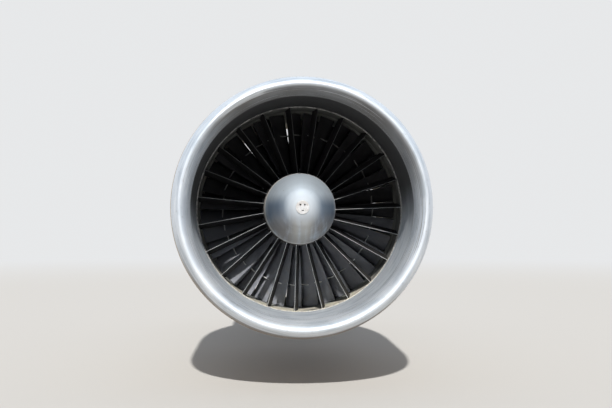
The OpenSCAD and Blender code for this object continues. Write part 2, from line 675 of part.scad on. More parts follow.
module core_cowl_half(a0) {
  gap = seam / core_cowl_r * 90 / PI;
  st = spread(s_pod_end + seam, s_nozzle, 12);
  rib = 12;
  difference() {
    sector(a0 + gap, a0 + 180 - gap) {
      polygon(skin_section(st, [for (s = st) core_r_at(s)], skin_t));
      for (s = spread(s_pod_end + seam + 3 * land_len, s_nozzle - land_len, 5))
        band(core_r_at(s + rib) - skin_t - rib_h / 2, core_r_at(s + rib) - skin_t / 2, s, s + rib);
    }
    clock(90) translate([core_cowl_end_r / 2, -hanger_w / 2 - clear, s_rear_hanger - hanger_w])
      cube([core_cowl_r, hanger_w + 2 * clear, 2 * hanger_w]);
  }
}
module core_cowl_left() color([0.68, 0.66, 0.62]) core_cowl_half(90);
module core_cowl_right() color([0.68, 0.66, 0.62]) core_cowl_half(-90);

// Compressors

lpc_case_lands = stage_lands(s_lpc, lpc_pitch, lpc_stages, lpc_front_r, lpc_rear_r);
lpc_drum_lands = stage_lands(s_lpc, lpc_pitch, lpc_stages, lpc_drum_front_r, lpc_drum_rear_r);
hpc_case_lands = stage_lands(s_hpc, hpc_pitch, hpc_stages, hpc_front_r, hpc_rear_r);
hpc_drum_lands = stage_lands(s_hpc, hpc_pitch, hpc_stages, hpc_drum_front_r, hpc_drum_rear_r);

// Rows of blades on the drum and of vanes in the case, one of each to a stage
module rotor_rows(case_lands, drum_lands, n, pitch) for (i = [0:len(case_lands) - 1])
  blade_ring(n, drum_lands[i][2] + seat, case_lands[i][2] - clear, case_lands[i][0] + pitch * 0.27,
    pitch * 0.5, 4, 4, -38);
module vane_rows(case_lands, drum_lands, n, pitch) for (i = [0:len(case_lands) - 1])
  blade_ring(n, drum_lands[i][2] + clear + 1, case_lands[i][2] - seat,
    case_lands[i][0] + pitch * 0.77, pitch * 0.42, 3.6, -3, 22);

module lpc_stator() color([0.50, 0.50, 0.52]) {
  lathe(stage_case(lpc_case_lands, case_t));
  vane_rows(lpc_case_lands, lpc_drum_lands, lpc_count, lpc_pitch);
}

// The drum's front cone carries the inner wall from the second fan disc to the first stage
module lpc_rotor() color([0.36, 0.37, 0.40]) {
  lands = [for (l = lpc_drum_lands) [l[0], l[1] - (l[1] == s_mid ? clear : 0), l[2]]];
  lathe(concat([[fan_hub_rear_r, s_frame], [lpc_drum_front_r, s_lpc]],
    drum(lands, 9, 14, low_shaft_r + 100, low_shaft_r + seat),
    [[fan_hub_rear_r - 9, s_frame]]));
  rotor_rows(lpc_case_lands, lpc_drum_lands, lpc_count, lpc_pitch);
}

// Intermediate case: the struts cross the flow path and the hub holds two bearings
module mid_case() color([0.54, 0.55, 0.53]) {
  in_f = lpc_rear_r;
  pad_s = s_mid + mid_len / 2;
  rotate_extrude() {
    polygon([[in_f, s_mid], [hpc_front_r, s_hpc], [hpc_front_r + case_t + flange_h, s_hpc],
      [hpc_front_r + case_t + flange_h, s_hpc - flange_t],
      [hpc_front_r + case_t + 4, s_hpc - flange_t],
      [in_f + case_t, s_mid + flange_t], [in_f + case_t + flange_h, s_mid + flange_t],
      [in_f + case_t + flange_h, s_mid]]);
    polygon([[lpc_drum_rear_r, s_mid], [hpc_drum_front_r, s_hpc - clear],
      [hpc_drum_front_r - case_t, s_hpc - clear], [lpc_drum_rear_r - case_t, s_mid]]);
    band(low_race_out + seat, mix(lpc_drum_rear_r, hpc_drum_front_r,
      (s_mid_web + case_t / 2 - s_mid) / mid_len) - case_t / 2, s_mid_web, s_mid_web + case_t);
    band(low_race_out + seat, low_race_out + seat + 12, s_low_mid - bearing_w / 2, s_mid_web + one);
    band(high_race_out + seat, high_race_out + seat + 12, s_mid_web + one, s_high_front + bearing_w / 2);
  }
  intersection() {
    ring_of(8, 90)
      radial_blade(hpc_drum_front_r - 2 * case_t, lpc_rear_r + case_t, pad_s, 70, 14, 0, 0);
    lathe([[lpc_drum_rear_r - case_t / 2, s_mid], [in_f + case_t / 2, s_mid],
      [hpc_front_r + case_t / 2, s_hpc], [hpc_drum_front_r - case_t / 2, s_hpc]]);
  }
  clock(-90) translate([mix(in_f, hpc_front_r, 0.5) + case_t / 2, 0, pad_s]) rotate([0, 90, 0])
    cylinder(r = tower_r + 8, h = tower_pad_r - mix(in_f, hpc_front_r, 0.5) - case_t / 2, $fn = 48);
}

module hpc_stator() color([0.50, 0.50, 0.52]) {
  lathe(stage_case(hpc_case_lands, case_t));
  vane_rows(hpc_case_lands, hpc_drum_lands, hpc_count, hpc_pitch);
}

module hpc_rotor() color([0.38, 0.38, 0.40]) {
  lands = [for (l = hpc_drum_lands)
    [l[0] + (l[0] == s_hpc ? clear : 0), l[1] - (l[1] == s_diffuser ? clear : 0), l[2]]];
  lathe(drum(lands, 9, 12, high_shaft_r + 60, high_shaft_r + seat));
  rotor_rows(hpc_case_lands, hpc_drum_lands, hpc_count, hpc_pitch);
}

// Combustion section

module diffuser_case() color([0.52, 0.50, 0.46]) difference() {
  out_f = stage_case_r(hpc_case_lands, case_t) - hpc_front_r + hpc_rear_r;
  union() {
    rotate_extrude() {
      polygon([[hpc_rear_r, s_diffuser], [hpc_rear_r, s_diffuser + 20],
        [burner_r, s_burner - 20], [burner_r, s_burner], [burner_r + case_t + flange_h, s_burner],
        [burner_r + case_t + flange_h, s_burner - flange_t], [burner_r + case_t, s_burner - flange_t],
        [burner_r + case_t, s_burner - 22], [hpc_rear_r + case_t * 1.5, s_diffuser + 14],
        [out_f + flange_h, s_diffuser + 10], [out_f + flange_h, s_diffuser]]);
      polygon([[hpc_drum_rear_r, s_diffuser], [hpc_drum_rear_r, s_diffuser + 20],
        [inner_case_r + case_t, s_burner - 10], [inner_case_r + case_t, s_burner],
        [inner_case_r - case_t, s_burner], [hpc_drum_rear_r - case_t, s_diffuser + 20],
        [hpc_drum_rear_r - case_t, s_diffuser]]);
    }
    intersection() {
      ring_of(can_count, 90 + 180 / can_count)
        radial_blade(inner_case_r, burner_r + case_t, s_diffuser + 56, 76, 12, 0, 0);
      lathe([[hpc_drum_rear_r - case_t / 2, s_diffuser], [hpc_rear_r + case_t / 2, s_diffuser],
        [hpc_rear_r + case_t / 2, s_diffuser + 20], [burner_r + case_t / 2, s_burner - 20],
        [inner_case_r, s_burner - 10], [hpc_drum_rear_r - case_t / 2, s_diffuser + 20]]);
    }
  }
  bolt_holes(case_bolt_count, flange_bolt_r, s_burner - flange_t, flange_t);
}

module burner_case() color([0.50, 0.44, 0.36]) difference() {
  flange_r = burner_r + case_t + flange_h;
  bead = 5;
  lathe(concat([[burner_r, s_burner], [burner_r, s_hpt], [flange_r, s_hpt],
    [flange_r, s_hpt - flange_t], [burner_r + case_t, s_hpt - flange_t]],
    [for (s = spread(s_hpt - burner_len / 4, s_burner + burner_len / 4, 2)) each
      [[burner_r + case_t, s + bead], [burner_r + case_t + bead, s], [burner_r + case_t, s - bead]]],
    [[burner_r + case_t, s_burner + flange_t], [flange_r, s_burner + flange_t], [flange_r, s_burner]]));
  ring_of(can_count, 90) translate([burner_r - one, 0, s_stem]) rotate([0, 90, 0])
    cylinder(r = stem_r + seat, h = case_t + 2 * one, $fn = 36);
  bolt_holes(case_bolt_count, flange_bolt_r, s_burner, flange_t);
  bolt_holes(case_bolt_count, flange_bolt_r, s_hpt - flange_t, flange_t);
}
flange_bolt_r = burner_r + case_t + flange_h * 0.55;
s_stem = s_burner + 34;
stem_r = 9;
tip_tube_r = 14;

// Inner case: a tunnel round the high-pressure shaft, with its rear bearing and the vanes' inner ring
module burner_inner_case() color([0.50, 0.46, 0.40]) rotate_extrude() {
  t = 6;
  s_cone = s_hpt - 110;
  ring_r = hpt_hub_r - seat;
  s_ring = s_hpt - t;
  polygon([[inner_case_r, s_burner], [inner_case_r, s_cone], [ring_r, s_ring],
    [ring_r, s_hpt + hpt_len * 0.42], [ring_r - t, s_hpt + hpt_len * 0.42], [ring_r - t, s_ring + 3],
    [inner_case_r - t, s_cone + 3], [inner_case_r - t, s_burner]]);
  band(high_race_out + seat, inner_case_r - t / 2, s_cone - 6, s_cone);
  band(high_race_out + seat, high_race_out + seat + 12, s_cone - 6, s_high_rear + bearing_w / 2);
}

module combustion_cans() color([0.45, 0.38, 0.32]) ring_of(can_count, 90)
  translate([can_ring_r, 0, 0]) {
    t = 2.5;
    snout = tip_tube_r + seat;
    s0 = s_burner + 58;
    s1 = s_hpt - 74;
    difference() {
      lathe([[snout, s0], [snout + t, s0], [snout + t, s0 + 22], [can_r * 0.7, s0 + 50],
        [can_r, s0 + 96], [can_r, s1], [can_r - t, s1], [can_r - t, s0 + 97],
        [can_r * 0.7 - t, s0 + 52], [snout, s0 + 24]]);
      for (s = [s0 + 140, s1 - 90]) for (a = [0:90:270]) rotate([0, 0, a])
        translate([can_r - 3 * t, 0, s]) rotate([0, 90, 0]) cylinder(r = 9, h = 5 * t, $fn = 24);
    }
  }

module transition_duct() color([0.45, 0.38, 0.32]) {
  t = 3;
  s0 = s_hpt - 80;
  out0 = can_ring_r + can_r + seat;
  in0 = can_ring_r - can_r - seat;
  lathe([[out0, s0], [out0, s0 + 14], [hpt_case_r - t, s_hpt - 12], [hpt_case_r - t, s_hpt],
    [hpt_case_r + t, s_hpt], [hpt_case_r + t, s_hpt - 12], [out0 + t, s0 + 14], [out0 + t, s0]]);
  lathe([[in0, s0], [in0, s0 + 14], [hpt_hub_r + t, s_hpt - 26], [hpt_hub_r + t, s_hpt - seat],
    [hpt_hub_r, s_hpt - seat], [hpt_hub_r, s_hpt - 26], [in0 - t, s0 + 14], [in0 - t, s0]]);
}

// Fuel manifold: a pipe ring with a stem and a nozzle for each can, and the pipe from the pump
module fuel_manifold() color([0.62, 0.62, 0.62]) {
  ring_r = burner_r + case_t + 34;
  pipe = 8;
  elbow = 50;
  s_pump_end = s_gear_end + pump_len;
  rotate_extrude() translate([ring_r, s_stem]) circle(r = 9, $fn = 32);
  ring_of(can_count, 90) {
    translate([can_ring_r, 0, s_stem]) rotate([0, 90, 0])
      cylinder(r = stem_r, h = ring_r - can_ring_r, $fn = 36);
    translate([can_ring_r, 0, s_stem - stem_r]) cylinder(r = tip_tube_r, h = 24 + 50, $fn = 36);
  }
  clock(pump_angle) {
    translate([pump_ring_r, 0, s_pump_end]) cylinder(r = pipe, h = elbow, $fn = 32);
    translate([pump_ring_r, 0, s_pump_end + elbow]) sphere(r = pipe + 2, $fn = 32);
    translate([pump_ring_r, 0, s_pump_end + elbow])
      rotate([0, atan2(ring_r - pump_ring_r, elbow), 0])
      cylinder(r = pipe, h = norm([ring_r - pump_ring_r, elbow]), $fn = 32);
    translate([ring_r, 0, s_pump_end + 2 * elbow]) sphere(r = pipe + 2, $fn = 32);
    translate([ring_r, 0, s_pump_end + 2 * elbow])
      cylinder(r = pipe, h = s_stem - s_pump_end - 2 * elbow, $fn = 32);
  }
}

// Turbines and exhaust

lpt_case_lands = stage_lands(s_lpt, lpt_pitch, lpt_stages,
  mix(hpt_case_r, lpt_case_r, 0.35), lpt_case_r);
lpt_hub_lands = stage_lands(s_lpt, lpt_pitch, lpt_stages,
  mix(hpt_hub_r, lpt_hub_r, 0.3), lpt_hub_r);
turbine_out_r = lpt_case_r + case_t;

waist_run = 24;
module turbine_case() color([0.46, 0.40, 0.34]) difference() {
  front_r = burner_r + case_t + flange_h;
  rear_r = turbine_out_r + flange_h;
  lathe(concat([[hpt_case_r, s_hpt], [hpt_case_r, s_lpt]],
    [for (l = lpt_case_lands) each [[l[2], l[0]], [l[2], l[1]]]],
    [[rear_r, s_exhaust], [rear_r, s_exhaust - flange_t], [turbine_out_r, s_exhaust - flange_t],
      [turbine_out_r, s_lpt], [hpt_case_r + case_t, s_lpt - waist_run],
      [hpt_case_r + case_t, s_hpt + flange_t + waist_run / 2], [hpt_case_r + 3 * case_t, s_hpt + flange_t],
      [front_r, s_hpt + flange_t], [front_r, s_hpt]]));
  bolt_holes(case_bolt_count, flange_bolt_r, s_hpt, flange_t);
}

module turbine_vanes() color([0.42, 0.38, 0.34]) {
  blade_ring(turbine_count, hpt_hub_r + seat, hpt_case_r - 2 * seat, s_hpt + hpt_len * 0.22,
    hpt_len * 0.38, 9, 7, 34);
  for (i = [0:lpt_stages - 1]) {
    s = lpt_case_lands[i][0] + lpt_pitch * 0.25;
    blade_ring(turbine_count, lpt_hub_lands[i][2] + seat, lpt_case_lands[i][2] - 2 * seat, s,
      lpt_pitch * 0.38, 7, 6, 30);
    lathe([[lpt_hub_lands[i][2], s - lpt_pitch * 0.2], [lpt_hub_lands[i][2], s + lpt_pitch * 0.2],
      [lpt_hub_lands[i][2] - 5, s + lpt_pitch * 0.2],
      [lpt_hub_lands[i][2] - 5, s - lpt_pitch * 0.2]]);
  }
}

module turbine_blades(hub, tip, s, chord)
  blade_ring(turbine_count, hub + seat, tip, s, chord, 7, -8, -10);

module turbine_disc(r, s0, s1, shaft) {
  mid = (s0 + s1) / 2;
  web = 16;
  lathe([[r, s0], [r, s1], [r - rim_t, s1], [r - rim_t - 14, mid + web / 2],
    [shaft + 44, mid + web / 2], [shaft + 30, mid + web * 1.4], [shaft, mid + web * 1.4],
    [shaft, mid - web * 1.4],
    [shaft + 30, mid - web * 1.4], [shaft + 44, mid - web / 2], [r - rim_t - 14, mid - web / 2],
    [r - rim_t, s0]]);
}

module hpt_rotor() color([0.40, 0.38, 0.36]) {
  s0 = s_hpt + hpt_len * 0.47;
  s1 = s_hpt + hpt_len * 0.95;
  turbine_disc(hpt_hub_r, s0, s1, high_shaft_r + seat);
  turbine_blades(hpt_hub_r, hpt_case_r - clear, (s0 + s1) / 2, hpt_len * 0.38);
}

module lpt_rotor() color([0.40, 0.38, 0.36]) for (i = [0:lpt_stages - 1]) {
  s0 = lpt_case_lands[i][0] + lpt_pitch * 0.52;
  s1 = lpt_case_lands[i][0] + lpt_pitch * 0.95;
  turbine_disc(lpt_hub_lands[i][2], s0, s1, low_shaft_r + seat);
  turbine_blades(lpt_hub_lands[i][2], lpt_case_lands[i][2] - clear, (s0 + s1) / 2, lpt_pitch * 0.34);
}

// Exhaust case: the hub inside the struts holds the rear bearing
module exhaust_case() color([0.48, 0.43, 0.36]) {
  t = 6;
  flange_r = turbine_out_r + flange_h;
  rear_r = exhaust_r + t + flange_h;
  hub_in = lpt_hub_r - t;
  rotate_extrude() {
    polygon([[lpt_case_r, s_exhaust], [exhaust_r, s_nozzle], [rear_r, s_nozzle],
      [rear_r, s_nozzle - flange_t], [exhaust_r + t, s_nozzle - flange_t],
      [lpt_case_r + t, s_exhaust + flange_t],
      [flange_r, s_exhaust + flange_t], [flange_r, s_exhaust]]);
    polygon([[lpt_hub_r, s_exhaust + clear], [cone_r, s_nozzle], [cone_r - t - 14, s_nozzle],
      [cone_r - t - 14, s_nozzle - t], [cone_r - t, s_nozzle - t], [hub_in, s_exhaust + clear]]);
    band(low_race_out + seat, mix(lpt_hub_r, cone_r, 0.45) - t / 2, s_low_rear - 4, s_low_rear + 4);
    band(low_race_out + seat, low_race_out + seat + 12, s_low_rear - bearing_w / 2,
      s_low_rear + bearing_w / 2);
  }
  intersection() {
    ring_of(exhaust_strut_count, 90)
      radial_blade(min(cone_r, lpt_hub_r) - t, max(lpt_case_r, exhaust_r) + t,
        s_exhaust + exhaust_len / 2, 120, 22, 0, 0);
    lathe([[lpt_hub_r - t / 2, s_exhaust], [lpt_case_r + t / 2, s_exhaust],
      [exhaust_r + t / 2, s_nozzle], [cone_r - t / 2, s_nozzle]]);
  }
}

module tail_cone() color([0.42, 0.37, 0.32]) {
  n = 12;
  line = [for (i = [0:n]) let (a = 90 * i / n)
    [cone_r * (0.72 * cos(a) + 0.28 * pow(cos(a), 2)), s_nozzle + cone_len * sin(a)]];
  t = skin_t;
  lathe(concat([for (i = [0:n - 1]) line[i]], [[0, s_nozzle + cone_len], [0, s_nozzle + cone_len - t]],
    [for (i = [n - 1:-1:1]) [max(line[i][0] - t, 0.5), line[i][1] - t * sin(90 * i / n)]],
    [[cone_r - t - 14, s_nozzle + t], [cone_r - t - 14, s_nozzle]]));
}

module exhaust_nozzle() color([0.50, 0.44, 0.36]) {
  t = skin_t;
  st = spread(s_nozzle, s_nozzle + nozzle_len, 10);
  lathe(concat([for (s = st) [eased(s, s_nozzle, s_nozzle + nozzle_len, exhaust_r, nozzle_r), s]],
    backwards([for (s = st) [eased(s, s_nozzle, s_nozzle + nozzle_len, exhaust_r, nozzle_r) + t, s]]),
    [[exhaust_r + t, s_nozzle + flange_t / 2], [exhaust_r + 6 + flange_h, s_nozzle + flange_t / 2],
      [exhaust_r + 6 + flange_h, s_nozzle]]));
}

// Shafts and bearings. Each bearing has an outer race, rollers and an inner race on the shaft

low_race_in = low_shaft_r + seat + race_t;
low_race_out = low_race_in + roller_d + 2 * turn_gap + race_t;
high_race_in = high_shaft_r + seat + race_t;
high_race_out = high_race_in + roller_d + 2 * turn_gap + race_t;
s_low_front = inlet_case_len / 2;
s_low_mid = s_mid + 30;
s_mid_web = s_low_mid + bearing_w / 2 + 6;
s_high_front = s_mid_web + case_t + bearing_w / 2 + 14;
s_high_rear = s_hpt - 110 + bearing_w / 2 + 6;
s_low_rear = s_exhaust + exhaust_len / 2;

module low_shaft() color([0.60, 0.60, 0.62])
  lathe([[low_bore_r, s_low_front - bearing_w], [low_bore_r, s_low_rear + bearing_w],
    [low_shaft_r, s_low_rear + bearing_w], [low_shaft_r, s_low_front - bearing_w]]);

module high_shaft() color([0.60, 0.60, 0.62]) {
  s0 = s_high_front - bearing_w / 2 - 4;
  s1 = s_lpt - clear;
  lathe([[high_bore_r, s0], [high_bore_r, s1], [high_shaft_r, s1], [high_shaft_r, s0]]);
}

module race(r0, r1, s) lathe([[r0, s - bearing_w / 2], [r0, s + bearing_w / 2],
  [r1, s + bearing_w / 2], [r1, s - bearing_w / 2]]);
module rollers(r, s) ring_of(roller_count)
  translate([r + turn_gap + roller_d / 2, 0, s - bearing_w / 2 + clear])
  cylinder(d = roller_d, h = bearing_w - 2 * clear, $fn = 36);

module bearing_races() color([0.55, 0.55, 0.58]) {
  for (s = [s_low_front, s_low_mid, s_low_rear]) race(low_race_out - race_t, low_race_out, s);
  for (s = [s_high_front, s_high_rear]) race(high_race_out - race_t, high_race_out, s);
}
module low_rollers() color([0.70, 0.70, 0.72]) for (s = [s_low_front, s_low_mid, s_low_rear]) {
  race(low_race_in - race_t, low_race_in, s);
  rollers(low_race_in, s);
}
module high_rollers() color([0.70, 0.70, 0.72]) for (s = [s_high_front, s_high_rear]) {
  race(high_race_in - race_t, high_race_in, s);
  rollers(high_race_in, s);
}

module case_bolts() color([0.45, 0.42, 0.38]) {
  bolt_ring(case_bolt_count, flange_bolt_r, s_hpt - flange_t, 2 * flange_t);
  bolt_ring(case_bolt_count, flange_bolt_r, s_burner - flange_t, 2 * flange_t);
}

// Accessories under the intermediate case

tower_r = 32;
tower_pad_r = lpc_rear_r;
gear_in_r = lpc_rear_r + case_t + flange_h + 2 * clear;
s_gear = s_mid + 8;
s_gear_end = s_gear + gearbox_len;
pump_angle = -110;
starter_angle = -70;
pump_ring_r = (gear_in_r + gearbox_r) / 2;
pump_len = 160;
starter_len = 180;
pad_t = 8;

module gearbox() color([0.56, 0.57, 0.52]) {
  rib = 6;
  sector(-126, -54) {
    band(gear_in_r, gearbox_r - rib, s_gear, s_gear_end);
    for (s = spread(s_gear, s_gear_end - rib, 3)) band(gearbox_r - 2 * rib, gearbox_r, s, s + rib);
  }
  clock(-90) translate([tower_pad_r + seat, 0, s_mid + mid_len / 2]) rotate([0, 90, 0])
    cylinder(r = tower_r, h = gear_in_r - tower_pad_r + 4, $fn = 48);
  for (a = [pump_angle, starter_angle]) clock(a) translate([pump_ring_r, 0, s_gear_end - one])
    cylinder(r = pump_r + 6, h = pad_t + one - 2, $fn = 48);
}

module starter() color([0.50, 0.51, 0.50]) clock(starter_angle)
  translate([pump_ring_r, 0, s_gear_end + pad_t - 2])
  lathe([[0, 0], [starter_r + 2, 0], [starter_r + 2, 8], [starter_r - 8, 12],
    [starter_r - 8, 34], [starter_r, 44], [starter_r, starter_len - 40],
    [starter_r - 14, starter_len - 14], [24, starter_len], [0, starter_len]]);

module fuel_pump() color([0.60, 0.60, 0.58]) clock(pump_angle)
  translate([pump_ring_r, 0, s_gear_end + pad_t - 2]) {
  port_end = pump_len - pad_t + 2 - seat;
  lathe([[0, 0], [pump_r + 6, 0], [pump_r + 6, 8], [pump_r - 10, 12], [pump_r - 10, 26],
    [pump_r, 34], [pump_r, pump_len - 50], [pump_r - 12, pump_len - 36], [18, pump_len - 30],
    [14, port_end], [0, port_end]]);
}

// The tank rests on the flanges at both ends of the fan frame
module oil_tank() color([0.56, 0.57, 0.50]) {
  r0 = duct_flange_r + seat;
  s0 = s_frame - 2 * flange_t;
  r1 = pod_r_at(s0 + tank_len) - max(door_t, skin_t) - rib_h - 2 * clear;
  round = 8;
  sector(150, 190) polygon([[r0, s0 + round], [r0 + round, s0], [r1 - round, s0], [r1, s0 + round],
    [r1, s0 + tank_len - round], [r1 - round, s0 + tank_len], [r0 + round, s0 + tank_len],
    [r0, s0 + tank_len - round]]);
}

// Hangers: a curved foot on the case, a tapered web and a two-eared eye

module hanger(case_r, bore_h, s, bore_r, slot) difference() {
  eye = bore_r * 1.8;
  foot = hanger_w * 0.85;
  union() {
    clock(90) translate([0, hanger_w / 2, s]) rotate([90, 0, 0]) linear_extrude(hanger_w) {
      polygon([[case_r + 2, -foot], [case_r + 16, -foot], [bore_h - eye, -eye],
        [bore_h, -eye], [bore_h, eye], [bore_h - eye, eye], [case_r + 16, foot], [case_r + 2, foot]]);
      translate([bore_h, 0]) circle(r = eye, $fn = 96);
    }
    clock(90) translate([0, hanger_w, s]) rotate([90, 0, 0]) linear_extrude(2 * hanger_w)
      polygon([[case_r * 0.97, -foot], [case_r + 14, -foot], [case_r + 14, foot],
        [case_r * 0.97, foot]]);
  }
  cylinder(r = case_r + seat, h = s_nozzle, $fn = 180);
  clock(90) translate([bore_h, hanger_w, s]) rotate([90, 0, 0])
    cylinder(r = bore_r, h = 2 * hanger_w, $fn = 96);
  clock(90) translate([bore_h - eye, -slot / 2, s - 2 * eye]) cube([4 * eye, slot, 4 * eye]);
}
module front_hanger() color([0.44, 0.44, 0.46])
  hanger(duct_r + fan_case_t, front_hanger_h, s_front_hanger, front_bore_r, hanger_w * 0.4);
module rear_hanger() color([0.44, 0.40, 0.36])
  hanger(turbine_out_r, rear_hanger_h, s_rear_hanger, rear_bore_r, hanger_w * 0.4);

// Cowl beam and doors

beam_edge = 90 - beam_half_angle;
half_seam = seam / pod_r * 90 / PI;
hinge_stations = [s_fan1 - 60, (s_fan1 + s_duct_end) / 2 - 60, s_duct_end - 180];

module at_hinge(side) clock(90 - side * beam_half_angle) translate([pod_r, 0, 0]) children();

// Knuckles of one hinge along its pin: where = 0 for the door's middle one, -1 and 1 for the beam's
module knuckle(s, where) translate([0, 0, s + where * (knuckle_len + 1) - knuckle_len / 2])
  cylinder(r = knuckle_r, h = knuckle_len, $fn = 48);
module knuckle_bore() translate([0, 0, s_fan1 - s_duct_end])
  cylinder(r = hinge_pin_r + turn_gap, h = 3 * s_duct_end, $fn = 48);

// A leaf under the skin and a riser that joins it to the knuckle; out is the side it lies on
module leaf(s, where, out) {
  drop = pod_r - pod_r_at(s + (where + 0.5) * knuckle_len) + door_t + 8;
  s0 = s + where * (knuckle_len + 1) - knuckle_len / 2;
  translate([-drop, out > 0 ? half_gap : -half_gap - 30, s0]) cube([9, 30, knuckle_len]);
  translate([-drop, out > 0 ? half_gap : -half_gap - 6, s0]) cube([drop - hinge_pin_r, 6, knuckle_len]);
}
half_gap = seam / 2;

// The beam: a strip of skin with frames, slotted for the front hanger
module cowl_beam() color([0.66, 0.62, 0.55]) difference() {
  union() {
    difference() {
      sector(beam_edge + half_seam, 180 - beam_edge - half_seam) {
        polygon(pod_skin(seam, s_duct_end - seam, door_t, 14));
        for (s = rib_stations)
          band(pod_r_at(s) - door_t - rib_h, pod_r_at(s) - door_t / 2, s, s + rib_w);
      }
      for (side = [-1, 1]) at_hinge(side) for (s = hinge_stations)
        translate([0, 0, s - knuckle_len / 2 - 2])
        cylinder(r = knuckle_r + 2, h = knuckle_len + 4, $fn = 48);
    }
    for (side = [-1, 1]) at_hinge(side) for (s = hinge_stations) for (where = [-1, 1]) {
      knuckle(s, where);
      leaf(s, where, -side);
    }
  }
  for (side = [-1, 1]) at_hinge(side) knuckle_bore();
  clock(90) translate([duct_r, -hanger_w / 2 - clear, s_front_hanger - hanger_w])
    cube([pod_r, hanger_w + 2 * clear, 2 * hanger_w]);
}
rib_w = 14;
rib_stations = [for (k = [0.12, 0.34, 0.56, 0.78]) k * fan_cowl_len];

module hinge_pins() color([0.70, 0.70, 0.72]) for (side = [-1, 1]) at_hinge(side)
  for (s = hinge_stations) translate([0, 0, s - knuckle_len * 1.5 - 3])
    cylinder(r = hinge_pin_r, h = knuckle_len * 3 + 6, $fn = 48);

// A door: side = 1 on the right as seen from the front, -1 on the left
module cowl_door(side) difference() {
  lo = side > 0 ? -90 + half_seam : 180 - beam_edge + half_seam;
  hi = side > 0 ? beam_edge - half_seam : 270 - half_seam;
  union() {
    difference() {
      sector(lo, hi) {
        polygon(pod_skin(seam, s_duct_end - seam, door_t, 14));
        for (s = rib_stations)
          band(pod_r_at(s) - door_t - rib_h, pod_r_at(s) - door_t / 2, s, s + rib_w);
      }
      at_hinge(side) for (s = hinge_stations) for (where = [-1, 1])
        translate([0, 0, s + where * (knuckle_len + 1) - knuckle_len / 2 - 2])
        cylinder(r = knuckle_r + 2, h = knuckle_len + 4, $fn = 48);
    }
    at_hinge(side) for (s = hinge_stations) {
      knuckle(s, 0);
      leaf(s, 0, side);
    }
  }
  at_hinge(side) knuckle_bore();
}

latch_stations = [for (k = [0.23, 0.5, 0.72]) k * fan_cowl_len];
latch_pivot_angle = 2.4;
lug_t = 6;
latch_pin_r = 4;
hook_x = -7;
hook_t = 5;
hook_len = 50;
hook_w = 16;
keeper_w = 24;
keeper_len = 17;
keeper_h = 9.5;
function latch_pivot_r(s) = pod_r_at(s) - door_t - 10;
module at_latch(s) clock(270 - latch_pivot_angle) translate([latch_pivot_r(s), 0, s]) children();

// The right door carries a keeper block under each hook
module cowl_door_right() color([0.68, 0.64, 0.57]) {
  cowl_door(1);
  for (s = latch_stations) at_latch(s)
    translate([hook_x + hook_t + clear, -hook_len - clear - 1, -keeper_w / 2])
    cube([keeper_h, keeper_len, keeper_w]);
}
module cowl_door_left() color([0.68, 0.64, 0.57]) {
  difference() {
    union() {
      difference() {
        cowl_door(-1);
        for (s = latch_stations)
          sector(270 - latch_pivot_angle - latch_angle - 0.6, 270 - latch_pivot_angle + 1.1)
            band(pod_r_at(s) - door_t - 4, pod_r + 4, s - latch_w / 2 - 2, s + latch_w / 2 + 2);
      }
      for (s = latch_stations) at_latch(s) for (k = [-1, 1])
        translate([-8, -8, k * (latch_w / 2 + 2 + lug_t / 2) - lug_t / 2]) cube([19, 16, lug_t]);
    }
    for (s = latch_stations) at_latch(s) translate([0, 0, -latch_w])
      cylinder(r = latch_pin_r + turn_gap, h = 2 * latch_w, $fn = 36);
  }
  for (s = latch_stations) at_latch(s) translate([0, 0, -latch_w / 2 - 2 - lug_t])
    cylinder(r = latch_pin_r, h = latch_w + 4 + 2 * lug_t, $fn = 36);
}

// A latch: a handle flush with the skin, on a knuckle round its pin, with a hook over the seam
module latch(s) color([0.78, 0.78, 0.78]) difference() {
  r = latch_pivot_r(s);
  half = latch_w / 2;
  union() {
    sector(270 - latch_pivot_angle - latch_angle, 270 - latch_pivot_angle)
      polygon([[pod_r_at(s - half) - door_t, s - half], [pod_r_at(s - half), s - half],
        [pod_r_at(s + half), s + half], [pod_r_at(s + half) - door_t, s + half]]);
    at_latch(s) translate([0, 0, -half + 4]) cylinder(r = 9, h = latch_w - 8, $fn = 48);
    at_latch(s) translate([0, 0, -half + 4]) cube([11, 9, latch_w - 8]);
    at_latch(s) translate([hook_x, -hook_len, -hook_w / 2]) cube([hook_t, hook_len, hook_w]);
  }
  at_latch(s) translate([0, 0, -latch_w])
    cylinder(r = latch_pin_r + turn_gap, h = 2 * latch_w, $fn = 36);
}
module latch_front() latch(latch_stations[0]);
module latch_middle() latch(latch_stations[1]);
module latch_rear() latch(latch_stations[2]);

// Turns the engine so that its inlet faces -Y and its front hanger's bore is the origin
module placed() translate([0, -s_front_hanger, -front_hanger_h]) rotate([-90, 0, 0]) children();

placed() inlet_lip();
placed() inlet_barrel();
placed() nose_cowl_skin();
placed() nose_cowl_frames();
placed() anti_ice_tube();
placed() nose_bullet();
placed() bullet_cap();
placed() inlet_case();
placed() guide_vanes();
placed() inlet_hub();
placed() inlet_bolts();
placed() fan_case();
placed() fan_blades_1();
placed() fan_discs();
placed() fan_stators();
placed() fan_blades_2();
placed() fan_frame();
placed() exit_vanes();
placed() fan_duct();
placed() fan_nozzle();
placed() core_cowl_ring();
placed() core_cowl_left();
placed() core_cowl_right();
placed() lpc_stator();
placed() lpc_rotor();
placed() mid_case();
placed() hpc_stator();
placed() hpc_rotor();
placed() diffuser_case();
placed() burner_case();
placed() burner_inner_case();
placed() combustion_cans();
placed() transition_duct();
placed() fuel_manifold();
placed() turbine_case();
placed() turbine_vanes();
placed() hpt_rotor();
placed() lpt_rotor();
placed() exhaust_case();
placed() tail_cone();
placed() exhaust_nozzle();
placed() low_shaft();
placed() high_shaft();
placed() bearing_races();
placed() low_rollers();
placed() high_rollers();
placed() case_bolts();
placed() gearbox();
placed() starter();
